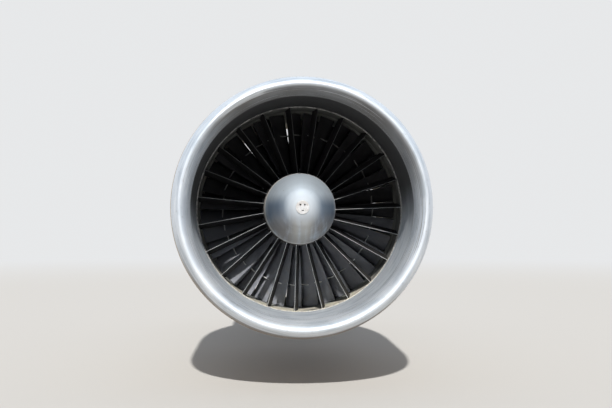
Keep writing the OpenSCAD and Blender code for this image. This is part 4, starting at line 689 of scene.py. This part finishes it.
# Pale rub on the shrouds' front, painted stronger on the lower half as a highlight.
front = aft.ramp(at(FAN_AT - 3), at(FAN_AT - 10)) * up.ramp(0.08, -0.25, 0.25, 1.0)
shroud_tint = clouds.between((0.15, 0.15, 0.155), (0.23, 0.23, 0.24))
shroud_tint = (front * (0.6 + clouds * 0.8)).tint(shroud_tint, (0.88, 0.88, 0.86))
set_shader(shroud_metal, shroud_tint, 0.45 + clouds * 0.2, 0.25, clouds * 0.01, 0.04)
half_turn = 180 / FAN_COUNT - 0.017
shroud_bars = []
for k in range(FAN_COUNT):
    for side in (-1, 1):
        rings = []
        for share in (0.0, 0.3, 0.6, 0.86, 0.90, 1.0):
            rise = SHROUD_RISE * (1 - share)
            pad, narrowed = (1.35, 0.98) if share > 0.87 else (1.0, 1.0)
            clock = 360 * k / FAN_COUNT + side * half_turn * share
            rings.append([spot(SHROUD_R + rise + high * pad, clock, FAN_AT - ahead * narrowed)
                          for ahead, high in foil(SHROUD_W, SHROUD_T, 0, 8)])
        shroud_bars.append(rings)
finished("fan_shrouds", blade_mesh(shroud_bars), shroud_metal, sharp=50,
         body="low_spool")


# Inlet hub: the fixed sleeve behind the bullet, which holds the vanes' feet and the front bearing.
# It is a matt casting, dark with oily dust.


def dressed(finish, *nodes):
    """Gives CAD nodes whose shape stays as it is their finish."""
    for node in nodes:
        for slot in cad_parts[node].material_slots:
            slot.material = finish


hub_metal, place, _, _, up, _ = new_finish("oily_hub_metal")
clouds = place.noise(12, 5)
hub_tint = clouds.between((0.060, 0.058, 0.055), (0.125, 0.118, 0.108))
hub_tint = ((clouds + place.noise(45, 3) * 0.4).ramp(0.72, 0.86) * up.ramp(0.0, 0.22)).tint(
    hub_tint, (0.27, 0.25, 0.21))
set_shader(hub_metal, hub_tint, 0.6 + clouds * 0.2, 0.4, clouds * 0.02, 0.05)
dressed(hub_metal, "inlet_hub")


# Flange bolts: hexagon heads and nuts of plated steel, dulled by weather, on the inlet flange and
# on the hot cases.
bolt_metal, place, *_ = new_finish("dulled_bolt_metal")
clouds = place.noise(60, 3)
bolt_tint = clouds.ramp(0.35, 0.65).tint((0.42, 0.39, 0.33), (0.27, 0.23, 0.19))
set_shader(bolt_metal, bolt_tint, 0.42 + clouds * 0.25, 0.8, clouds * 0.01, 0.02)
dressed(bolt_metal, "inlet_bolts", "case_bolts")


# Fan discs, the fixed vanes between the stages and the second fan stage: machined titanium and
# steel in shade, with a dusty film. The second stage has the same finish as the first, with its
# painted shade above and painted light below.
disc_metal, place, _, aft, _, reach = new_finish("machined_disc_metal")
turned_lines = (reach * 900 + aft * 400).wave()
clouds = place.noise(15, 4)
disc_tint = clouds.between((0.15, 0.15, 0.16), (0.24, 0.24, 0.25))
set_shader(disc_metal, disc_tint, 0.38 + clouds * 0.2, 0.85, turned_lines * 0.0002, 0.3)
dressed(disc_metal, "fan_discs", "lpc_rotor", "hpc_rotor")
cold_metal, place, *_ = new_finish("cold_vane_metal")
clouds = place.noise(18, 5)
cold_tint = clouds.between((0.20, 0.20, 0.205), (0.34, 0.34, 0.34))
cold_tint = (place.noise(5, 4).ramp(0.5, 0.7) * 0.4).tint(cold_tint, (0.36, 0.33, 0.28))
set_shader(cold_metal, cold_tint, 0.45 + clouds * 0.2, 0.75, clouds * 0.01, 0.04)
dressed(cold_metal, "fan_stators", "exit_vanes", "lpc_stator", "hpc_stator")
dressed(fan_metal, "fan_blades_2")


# Fan case, fan frame, bypass duct and intermediate case: cast and rolled aluminium rings with
# flanges, under a thin grey coat that has gone chalky and stained round the joints.
ring_coat, place, *_ = new_finish("chalky_ring_coat")
clouds = place.noise(4.0, 6)
stains = place.stretched(7, 3, 7).noise(1.0, 5)
grit = place.noise(90, 3)
ring_tint = coated(
    clouds.between((0.36, 0.37, 0.34), (0.47, 0.475, 0.44)),
    (stains.ramp(0.55, 0.70) * 0.6, (0.28, 0.24, 0.18)),
    (grit.ramp(0.66, 0.72) * 0.5, (0.22, 0.21, 0.19)))
set_shader(ring_coat, ring_tint, 0.52 + clouds * 0.2, 0.35, grit * 0.02 + clouds * 0.01, 0.05)
dressed(ring_coat, "fan_case", "fan_frame", "fan_duct", "mid_case")


# Hot cases of the core: the diffuser, combustion and turbine cases and the rear frame. The steel
# has turned straw and brown, darker over the burners, and blue near the turbines.
hot_metal, place, _, aft, *_ = new_finish("tinted_case_metal")
clouds = place.noise(6.0, 6)
fine = place.stretched(4, 90, 4).noise(1.0, 3)
heat = (aft + clouds * 0.25).ramp(at(1700), at(2750))
hot_tint = heat.tint((0.42, 0.37, 0.29), (0.27, 0.20, 0.15))
hot_tint = ((aft + clouds * 0.3).ramp(at(2650), at(3050)) * 0.55).tint(
    hot_tint, (0.22, 0.23, 0.27))
hot_tint = (clouds.ramp(0.5, 0.7) * 0.4).tint(hot_tint, (0.33, 0.29, 0.24))
set_shader(hot_metal, hot_tint, 0.36 + clouds * 0.25 + fine * 0.06, 0.9,
           fine * 0.003 + clouds * 0.01, 0.08)
dressed(hot_metal, "diffuser_case", "burner_case", "burner_inner_case", "turbine_case",
        "turbine_vanes", "hpt_rotor", "lpt_rotor", "combustion_cans", "transition_duct")


# Rear frame: the outer ring, eight struts and the hub that carries the rear bearing, seen from
# behind round the tail cone. The struts' edges are rounded and stained by the gas.
recut("exhaust_case", "rear_frame", hot_metal, 0.0012)


# Shafts and bearings: ground steel tubes with hardened races and rollers, oiled and clean.
shaft_metal, place, *_ = new_finish("ground_shaft_metal")
clouds = place.noise(20, 4)
fine = place.stretched(6, 160, 6).noise(1.0, 3)
shaft_tint = clouds.between((0.50, 0.50, 0.51), (0.62, 0.62, 0.63))
set_shader(shaft_metal, shaft_tint, 0.22 + clouds * 0.12, 1.0, fine * 0.002, 0.05)
dressed(shaft_metal, "low_shaft", "high_shaft", "bearing_races", "low_rollers", "high_rollers",
        "hinge_pins")


# Pipes: the fuel manifold round the burners and the anti-icing ring in the lip, bent from bright
# tube that keeps a faint brown tint at its joints.
pipe_metal, place, *_ = new_finish("bright_tube_metal")
clouds = place.noise(14, 4)
pipe_tint = clouds.ramp(0.35, 0.7).tint((0.60, 0.60, 0.60), (0.45, 0.39, 0.31))
set_shader(pipe_metal, pipe_tint, 0.28 + clouds * 0.2, 0.95, clouds * 0.01, 0.02)
dressed(pipe_metal, "fuel_manifold", "anti_ice_tube")


# Accessories: gearbox, starter, fuel pump and oil tank, castings and a welded tank under grey-green
# paint, with oily dust in the hollows and paint rubbed off along the edges.
unit_paint, place, *_ = new_finish("oily_unit_paint")
clouds = place.noise(7, 6)
chips = place.noise(34, 4).ramp(0.66, 0.69)
unit_tint = coated(
    clouds.between((0.25, 0.28, 0.23), (0.33, 0.36, 0.30)),
    (place.noise(3.5, 5).ramp(0.52, 0.68) * 0.6, (0.19, 0.17, 0.13)),
    (chips * 0.8, (0.52, 0.51, 0.47)))
set_shader(unit_paint, unit_tint, 0.42 + clouds * 0.25, chips * 0.7, chips * -0.02 + clouds * 0.01,
           0.04, Coat_Weight=0.1)
for node, made, corner in (("gearbox", "gearbox_body", 0.0015),
                           ("starter", "starter_body", 0.0015),
                           ("fuel_pump", "pump_body", 0.0015),
                           ("oil_tank", "oil_tank_shell", 0.003)):
    recut(node, made, unit_paint, corner)


# Hangers: two forgings that the pylon's pins pass through. Black-brown forging skin outside, and
# bright in the bore and on the ears' faces, where pins and lugs rub.
REAR_PIN_AT = 2625
REAR_PIN_DOWN = 0.24
hanger_metal, place, _, aft, *_ = new_finish("forged_hanger_metal")
clouds = place.noise(11, 5)
grit = place.noise(120, 3)
hanger_tint = clouds.between((0.12, 0.115, 0.11), (0.21, 0.20, 0.19))
bore_out = (aft * aft + place.part(2) * place.part(2)) ** 0.5
rear_in = aft - at(REAR_PIN_AT)
rear_up = place.part(2) + REAR_PIN_DOWN
rear_out = (rear_in * rear_in + rear_up * rear_up) ** 0.5
rubbed = bore_out.ramp(0.031, 0.026) + rear_out.ramp(0.026, 0.021)
hanger_tint = rubbed.tint(hanger_tint, (0.56, 0.55, 0.53))
set_shader(hanger_metal, hanger_tint, 0.55 + clouds * 0.2 - rubbed * 0.25, 0.75,
           grit * 0.02 + clouds * 0.02, 0.06)
recut("front_hanger", "front_hanger_forging", hanger_metal, 0.003)
recut("rear_hanger", "rear_hanger_forging", hanger_metal, 0.0025)


# Inlet cowl: the outer skin behind the polished lip, rolled sheet in weathered tan paint. The
# paint is thin and brown near the front edge, scoured by sand and streaked towards the rear.
cowl_paint, place, _, aft, up, _ = new_finish("weathered_tan_paint")
clouds = place.noise(3.0, 6)
streaks = place.stretched(26, 1.6, 26).noise(1.0, 5)
grit = place.noise(75, 4)
low = up.ramp(-0.25, -0.78)
tan = coated(
    clouds.between((0.46, 0.37, 0.25), (0.57, 0.48, 0.35)),
    (streaks.ramp(0.50, 0.72) * 0.45, (0.33, 0.25, 0.16)),
    (low * (0.55 + clouds * 0.4), (0.20, 0.13, 0.08)))
scoured = (aft + grit * 0.12).ramp(at(-300), at(-440)) * 0.45
tan = scoured.tint(tan, (0.36, 0.25, 0.15))
seams = aft.near(at(-438.5), 0.002)
for seam_at in (-3.0, 3.0, 997.0, 1003.0):
    seams = seams + aft.near(at(seam_at), 0.002)
tan = (seams * 0.7).tint(tan, (0.12, 0.09, 0.06))
chips = (grit + clouds * 0.35).ramp(0.83, 0.86)
tan = chips.tint(tan, (0.60, 0.60, 0.57))
set_shader(cowl_paint, tan, 0.48 + clouds * 0.2 + low * 0.1, chips * 0.8,
           chips * -0.02 + clouds * 0.015 + grit * 0.006, 0.05, Coat_Weight=0.05)
skin_line = [(pod_radius(s), s) for s in np.linspace(LIP_END_AT + 0.8, -1.0, 60)]
skin_outline = (skin_line + [(POD_R - 0.6, -0.3), (POD_R - SHEET, -0.3)]
                + [(r - SHEET, s) for r, s in skin_line[::-1]])
finished("cowl_skin", turned_mesh(skin_outline), cowl_paint, ["nose_cowl_skin"])


# Flush rivets: the heads that hold the cowl's skin to its frames, and the doors' skins to their
# ribs, one low dome each, set in the paint.
HEAD_SIDES = 10


def rivet_heads(name, places, size, proud, finish, radius_at=pod_radius, body="engine"):
    """One mesh of low domed heads at (clock, station) places on a surface round the axis."""
    points, faces = [], []
    for clock, station in places:
        faces += lofted_faces(3, HEAD_SIDES, len(points))
        high = radius_at(station)
        for share, lift in ((1.0, -0.9), (0.93, proud * 0.45), (0.55, proud)):
            for k in range(HEAD_SIDES):
                turn = 2 * math.pi * k / HEAD_SIDES
                beyond = math.degrees(size * share * math.cos(turn) / high)
                points.append(spot(high + lift, clock + beyond,
                                   station + size * share * math.sin(turn)))
    finished(name, closed_mesh(points, faces), finish, sharp=50, body=body)


cowl_rivets = [(clock + 1.2 * row, station) for row, station in
               enumerate((-428, -14, -34)) for clock in np.arange(0, 360, 3.0)]
rivet_heads("cowl_rivets", cowl_rivets, 3.4, 0.5, cowl_paint)


# Cowl frames: the front bulkhead behind the lip and the rear one with the doors' land, pressed
# from sheet in green-grey primer.
primer, place, *_ = new_finish("green_primer")
clouds = place.noise(6, 5)
primer_tint = clouds.between((0.36, 0.40, 0.27), (0.44, 0.47, 0.34))
primer_tint = (place.noise(2.4, 5).ramp(0.5, 0.7) * 0.5).tint(primer_tint, (0.27, 0.24, 0.18))
set_shader(primer, primer_tint, 0.55 + clouds * 0.2, 0.0, clouds * 0.01, 0.03)
dressed(primer, "nose_cowl_frames")


# Upper beam: the fixed strip between the doors, with their hinge knuckles and the slot that the
# front hanger stands in.
recut("cowl_beam", "upper_beam", cowl_paint, 0.0008)


# Fan cowl doors: curved sheet over pressed ribs in tan paint, primer on the inside, hinged on the
# beam. Streaks run aft and down, and the paint is rubbed at the lower edges and round the latches.
door_paint, place, _, aft, up, reach = new_finish("streaked_door_paint")
clouds = place.noise(2.6, 6)
streaks = place.stretched(30, 2.0, 30).noise(1.0, 5)
runs = place.stretched(3, 24, 3).noise(1.0, 5)
grit = place.noise(80, 4)
low = up.ramp(-0.2, -0.78)
tan = coated(
    clouds.between((0.44, 0.37, 0.27), (0.55, 0.48, 0.37)),
    (streaks.ramp(0.54, 0.74) * 0.12, (0.34, 0.27, 0.18)),
    (runs.ramp(0.55, 0.74) * clouds.ramp(0.35, 0.6) * 0.35, (0.30, 0.24, 0.17)),
    (low * (0.30 + clouds * 0.4), (0.21, 0.15, 0.10)))
chips = (grit + clouds * 0.35).ramp(0.84, 0.87)
tan = chips.tint(tan, (0.58, 0.58, 0.55))
inside = reach.ramp(0.7815, 0.7805) * aft.ramp(at(480), at(380))
inside = inside + (reach + (aft - at(400)) ** 2 * 0.12).ramp(0.7755, 0.7735)
primer_inside = clouds.between((0.34, 0.38, 0.26), (0.42, 0.45, 0.33))
tan = inside.ramp(0.3, 0.7).tint(tan, primer_inside)
set_shader(door_paint, tan, 0.48 + clouds * 0.2, chips * 0.7,
           chips * -0.02 + clouds * 0.015 + grit * 0.006, 0.05)
for side in ("left", "right"):
    recut("cowl_door_" + side, "door_shell_" + side, door_paint, 0.0008,
          body="door_" + side)
RIB_AT = (127, 347, 567, 787)
for side, low_clock, high_clock in (("left", 107.5, 254.0), ("right", -83.0, 72.5)):
    door_rivets = [(clock, station - 4.5) for station in RIB_AT
                   for clock in np.arange(low_clock, high_clock, 3.0)]
    door_rivets += [(clock, station) for station in (14, 986)
                    for clock in np.arange(low_clock, high_clock, 3.0)]
    rivet_heads("door_rivets_" + side, door_rivets, 3.2, 0.45, door_paint,
                body="door_" + side)


# Service hatches: a round-cornered plate over the oil tank on the left door, and one for the
# starter's valve low on the right door. Each is a pressed sheet held by screws round its edge.
PLATE_LIFTS = (-1.5, 0.9)
PLATE_CORNER = 18
PLATE_STEP = 30
SCREW_INSET = 10
SCREW_PITCH = 26


def hatch(name, body, clocks, stations):
    """A round-cornered plate bent to the pod's surface, with screws round its edge."""
    middle = (clocks[0] + clocks[1]) / 2
    half = math.radians(clocks[1] - clocks[0]) / 2 * POD_R
    outline = []
    side, fore, rear = half - PLATE_CORNER, stations[0] + PLATE_CORNER, stations[1] - PLATE_CORNER
    for cx, cy, start in ((side, rear, 0), (-side, rear, 90),
                          (-side, fore, 180), (side, fore, 270)):
        for k in range(7):
            turn = math.radians(start + 15 * k)
            outline.append((cx + PLATE_CORNER * math.cos(turn), cy + PLATE_CORNER * math.sin(turn)))
    work = bmesh.new()
    lower, upper = ([work.verts.new((x, y, lift)) for x, y in outline] for lift in PLATE_LIFTS)
    work.faces.new(lower[::-1])
    work.faces.new(upper)
    for i in range(len(outline)):
        j = (i + 1) % len(outline)
        work.faces.new((lower[i], lower[j], upper[j], upper[i]))
    cuts = [(cut, Vector((1, 0, 0)))
            for cut in np.arange(-half + PLATE_STEP, half - 5, PLATE_STEP)]
    cuts += [(cut, Vector((0, 1, 0)))
             for cut in np.arange(stations[0] + 2 * PLATE_STEP, stations[1] - 5, 2 * PLATE_STEP)]
    for cut, normal in cuts:
        bmesh.ops.bisect_plane(work, geom=work.verts[:] + work.edges[:] + work.faces[:],
                               plane_co=normal * float(cut), plane_no=normal)
    for vertex in work.verts:
        x, y, lift = vertex.co
        vertex.co = spot(pod_radius(y) + lift, middle + math.degrees(x / POD_R), y)
    bmesh.ops.recalc_face_normals(work, faces=work.faces)
    mesh = bpy.data.meshes.new("shape")
    work.to_mesh(mesh)
    work.free()
    finished(name, mesh, door_paint, sharp=40, body=body)
    half -= SCREW_INSET
    s0, s1 = stations[0] + SCREW_INSET, stations[1] - SCREW_INSET
    across_count = max(2, round(2 * half / SCREW_PITCH))
    along_count = max(2, round((s1 - s0) / SCREW_PITCH))
    places = [(middle + math.degrees((-half + 2 * half * k / across_count) / POD_R), s)
              for k in range(across_count + 1) for s in (s0, s1)]
    places += [(middle + side * math.degrees(half / POD_R), s0 + (s1 - s0) * k / along_count)
               for k in range(1, along_count) for side in (-1, 1)]
    rivet_heads(name + "_screws", places, 4.0, 1.5, bolt_metal, body=body)


hatch("oil_hatch", "door_left", (163, 181), (600, 760))
hatch("valve_hatch", "door_right", (-52, -40), (380, 500))
hatch("drain_hatch", "door_left", (228, 238), (590, 690))


# Latches: three stainless handles flush in the left door's lower edge. Each swings down on its pin
# and lifts a hook off the right door. They are bright, with scratches from gloved hands.
latch_metal, place, *_ = new_finish("scratched_latch_metal")
scratches = place.stretched(60, 14, 60).noise(1.0, 4)
clouds = place.noise(25, 4)
latch_tint = clouds.between((0.58, 0.58, 0.58), (0.70, 0.70, 0.69))
latch_tint = (scratches.ramp(0.58, 0.70) * 0.4).tint(latch_tint, (0.38, 0.36, 0.33))
set_shader(latch_metal, latch_tint, 0.30 + scratches * 0.2, 0.95, scratches * 0.004, 0.05)
for where in ("front", "middle", "rear"):
    recut("latch_" + where, "latch_handle_" + where, latch_metal, 0.0008,
          body="latch_" + where)


# Fan nozzle: the fixed ring behind the doors that closes the pod round the bypass duct. Tan paint
# all over here, though the real ring's rear lip is bare and rubbed by the air.
recut("fan_nozzle", "nozzle_ring", cowl_paint, 0.0006, sharp=24)
nozzle_rivets = [(clock + 1.5 * row, station) for row, station in enumerate((1016, 1204))
                 for clock in np.arange(0, 360, 3.0)]
rivet_heads("nozzle_rivets", nozzle_rivets, 3.2, 0.4, cowl_paint)


# Core cowl: a fixed front ring inside the bypass duct, then two bolted panels that meet at top and
# bottom. Matt warm-grey heat paint, browned towards the rear and stained along the lower seam.
CORE_AT = 765
CORE_R = 560
SPLIT_AT = 1250
NARROWS_AT = 1871
NOZZLE_AT = 3045


def eased(station, start, end, first, last):
    """A size that goes smoothly from first at the station start to last at end."""
    share = min(1, max(0, (station - start) / (end - start)))
    return first + (last - first) * share * share * (3 - 2 * share)


def core_radius(station):
    """Radius of the core cowl's outer surface."""
    if station < SPLIT_AT:
        return eased(station, CORE_AT, SPLIT_AT, 480, CORE_R)
    return eased(station, NARROWS_AT, NOZZLE_AT, CORE_R, 500)


core_paint, place, across, aft, up, _ = new_finish("browned_core_paint")
clouds = place.noise(2.8, 6)
streaks = place.stretched(22, 1.3, 22).noise(1.0, 5)
grit = place.noise(70, 4)
heat = (aft + clouds * 0.35).ramp(at(1900), at(3000))
low = up.ramp(-0.30, -0.55) * abs(across).ramp(0.22, 0.02)
core_tint = coated(
    clouds.between((0.43, 0.41, 0.37), (0.52, 0.50, 0.46)),
    (heat * 0.75, (0.33, 0.26, 0.19)),
    (streaks.ramp(0.50, 0.70) * (0.25 + heat * 0.35), (0.21, 0.17, 0.13)),
    (low * (0.4 + streaks * 0.5), (0.11, 0.09, 0.07)))
chips = (grit + clouds * 0.3).ramp(0.82, 0.85)
core_tint = chips.tint(core_tint, (0.50, 0.48, 0.44))
set_shader(core_paint, core_tint, 0.50 + clouds * 0.2, 0.15 + chips * 0.5,
           clouds * 0.015 + grit * 0.006 + chips * -0.02, 0.05)
ring_line = [(core_radius(s), s) for s in np.linspace(765.5, SPLIT_AT, 40)]
ring_outline = (ring_line + [(557, 1250.2), (556.7, 1250.2), (556.7, 1276), (553.7, 1276),
                             (553.7, 1224)] + [(r - SHEET, s) for r, s in ring_line[-5::-1]])
finished("core_front_ring", turned_mesh(ring_outline), core_paint,
         ["core_cowl_ring"])
for side in ("left", "right"):
    recut("core_cowl_" + side, "core_panel_" + side, core_paint, 0.0006,
          sharp=24)
core_screws = [(clock + side * 3.4, station) for clock in (90, 270) for side in (-1, 1)
               for station in np.arange(1290, 3030, 55.0)
               if clock == 270 or abs(station - REAR_PIN_AT) > 105]
core_screws += [(clock, station) for station in (1266, 3030) for clock in np.arange(4, 360, 6.0)
                if 4 < (clock - 90) % 180 < 176]
rivet_heads("core_screws", core_screws, 4.2, 0.9, bolt_metal, core_radius)


# Exhaust nozzle: a thin steel funnel bolted behind the rear frame. Heat has coloured it in bands,
# straw in front, then brown and blue, with soot inside and at its rear edge.
NOZZLE_LEN = 300
nozzle_metal, place, _, aft, *_ = new_finish("heat_banded_metal")
clouds = place.noise(5.0, 6)
fine = place.stretched(5, 110, 5).noise(1.0, 3)
streaks = place.stretched(24, 1.5, 24).noise(1.0, 5)
along = (aft - at(NOZZLE_AT) + (clouds - 0.5) * 0.16) / 0.3
nozzle_tint = along.bands((0.0, (0.40, 0.33, 0.23)), (0.25, (0.36, 0.25, 0.15)),
                          (0.48, (0.27, 0.17, 0.14)), (0.66, (0.19, 0.17, 0.22)),
                          (0.84, (0.24, 0.25, 0.28)), (1.0, (0.14, 0.12, 0.11)))
nozzle_tint = (streaks.ramp(0.52, 0.72) * 0.5).tint(nozzle_tint, (0.10, 0.09, 0.08))
set_shader(nozzle_metal, nozzle_tint, 0.36 + clouds * 0.25 + fine * 0.06, 0.92,
           fine * 0.002 + clouds * 0.012, 0.08)


def nozzle_radius(station):
    """Inner radius of the exhaust nozzle."""
    return eased(station, NOZZLE_AT, NOZZLE_AT + NOZZLE_LEN, 452, 340)


nozzle_end = NOZZLE_AT + NOZZLE_LEN - 0.4
nozzle_line = [(nozzle_radius(s), s) for s in np.linspace(NOZZLE_AT + 0.2, nozzle_end, 48)]
nozzle_outline = (nozzle_line + [(nozzle_line[-1][0] + SHEET, nozzle_end)]
                  + [(r + SHEET, s) for r, s in nozzle_line[-2:2:-1]]
                  + [(456, 3051.5), (457, 3050), (477, 3050), (478, 3049), (478, 3046),
                     (477, 3045.2)])
finished("exhaust_funnel", turned_mesh(nozzle_outline), nozzle_metal,
         ["exhaust_nozzle"])


# Tail cone: a spun cone on the rear frame's hub, brown and blue from heat, with a soot-dark tip.
CONE_R = 256
CONE_LEN = 270
CONE_TIP_R = 0.02
cone_line = []
for k in range(61):
    turn = math.pi / 2 * k / 60
    cone_line.append((CONE_R * (0.72 * math.cos(turn) + 0.28 * math.cos(turn) ** 2),
                      NOZZLE_AT + CONE_LEN * math.sin(turn)))
cone_metal, place, across, aft, up, reach = new_finish("sooty_cone_metal")
clouds = place.noise(7.0, 6)
fine = turned_grain(across, (aft - reach) * 170, up, 4, 3)
along = (aft - at(NOZZLE_AT) + (clouds - 0.5) * 0.14) / 0.27
cone_tint = along.bands((0.0, (0.33, 0.26, 0.19)), (0.35, (0.26, 0.18, 0.14)),
                        (0.62, (0.18, 0.16, 0.19)), (0.85, (0.20, 0.19, 0.19)),
                        (1.0, (0.09, 0.08, 0.075)))
set_shader(cone_metal, cone_tint, 0.40 + clouds * 0.25, 0.9, fine * 0.003 + clouds * 0.012, 0.08)
cone_outline = [(CONE_TIP_R, cone_line[-1][1])] + cone_line[-2::-1]
cone_outline += [(CONE_R - 20, NOZZLE_AT + 0.2), (CONE_R - 20, NOZZLE_AT + 3)]
cone_outline += [(max(r - SHEET, CONE_TIP_R), s - SHEET * 0.8) for r, s in cone_line[4:-3]]
cone_outline += [(CONE_TIP_R, cone_line[-1][1] - SHEET)]
finished("tail_cone_shell", turned_mesh(cone_outline, 160), cone_metal,
         ["tail_cone"])
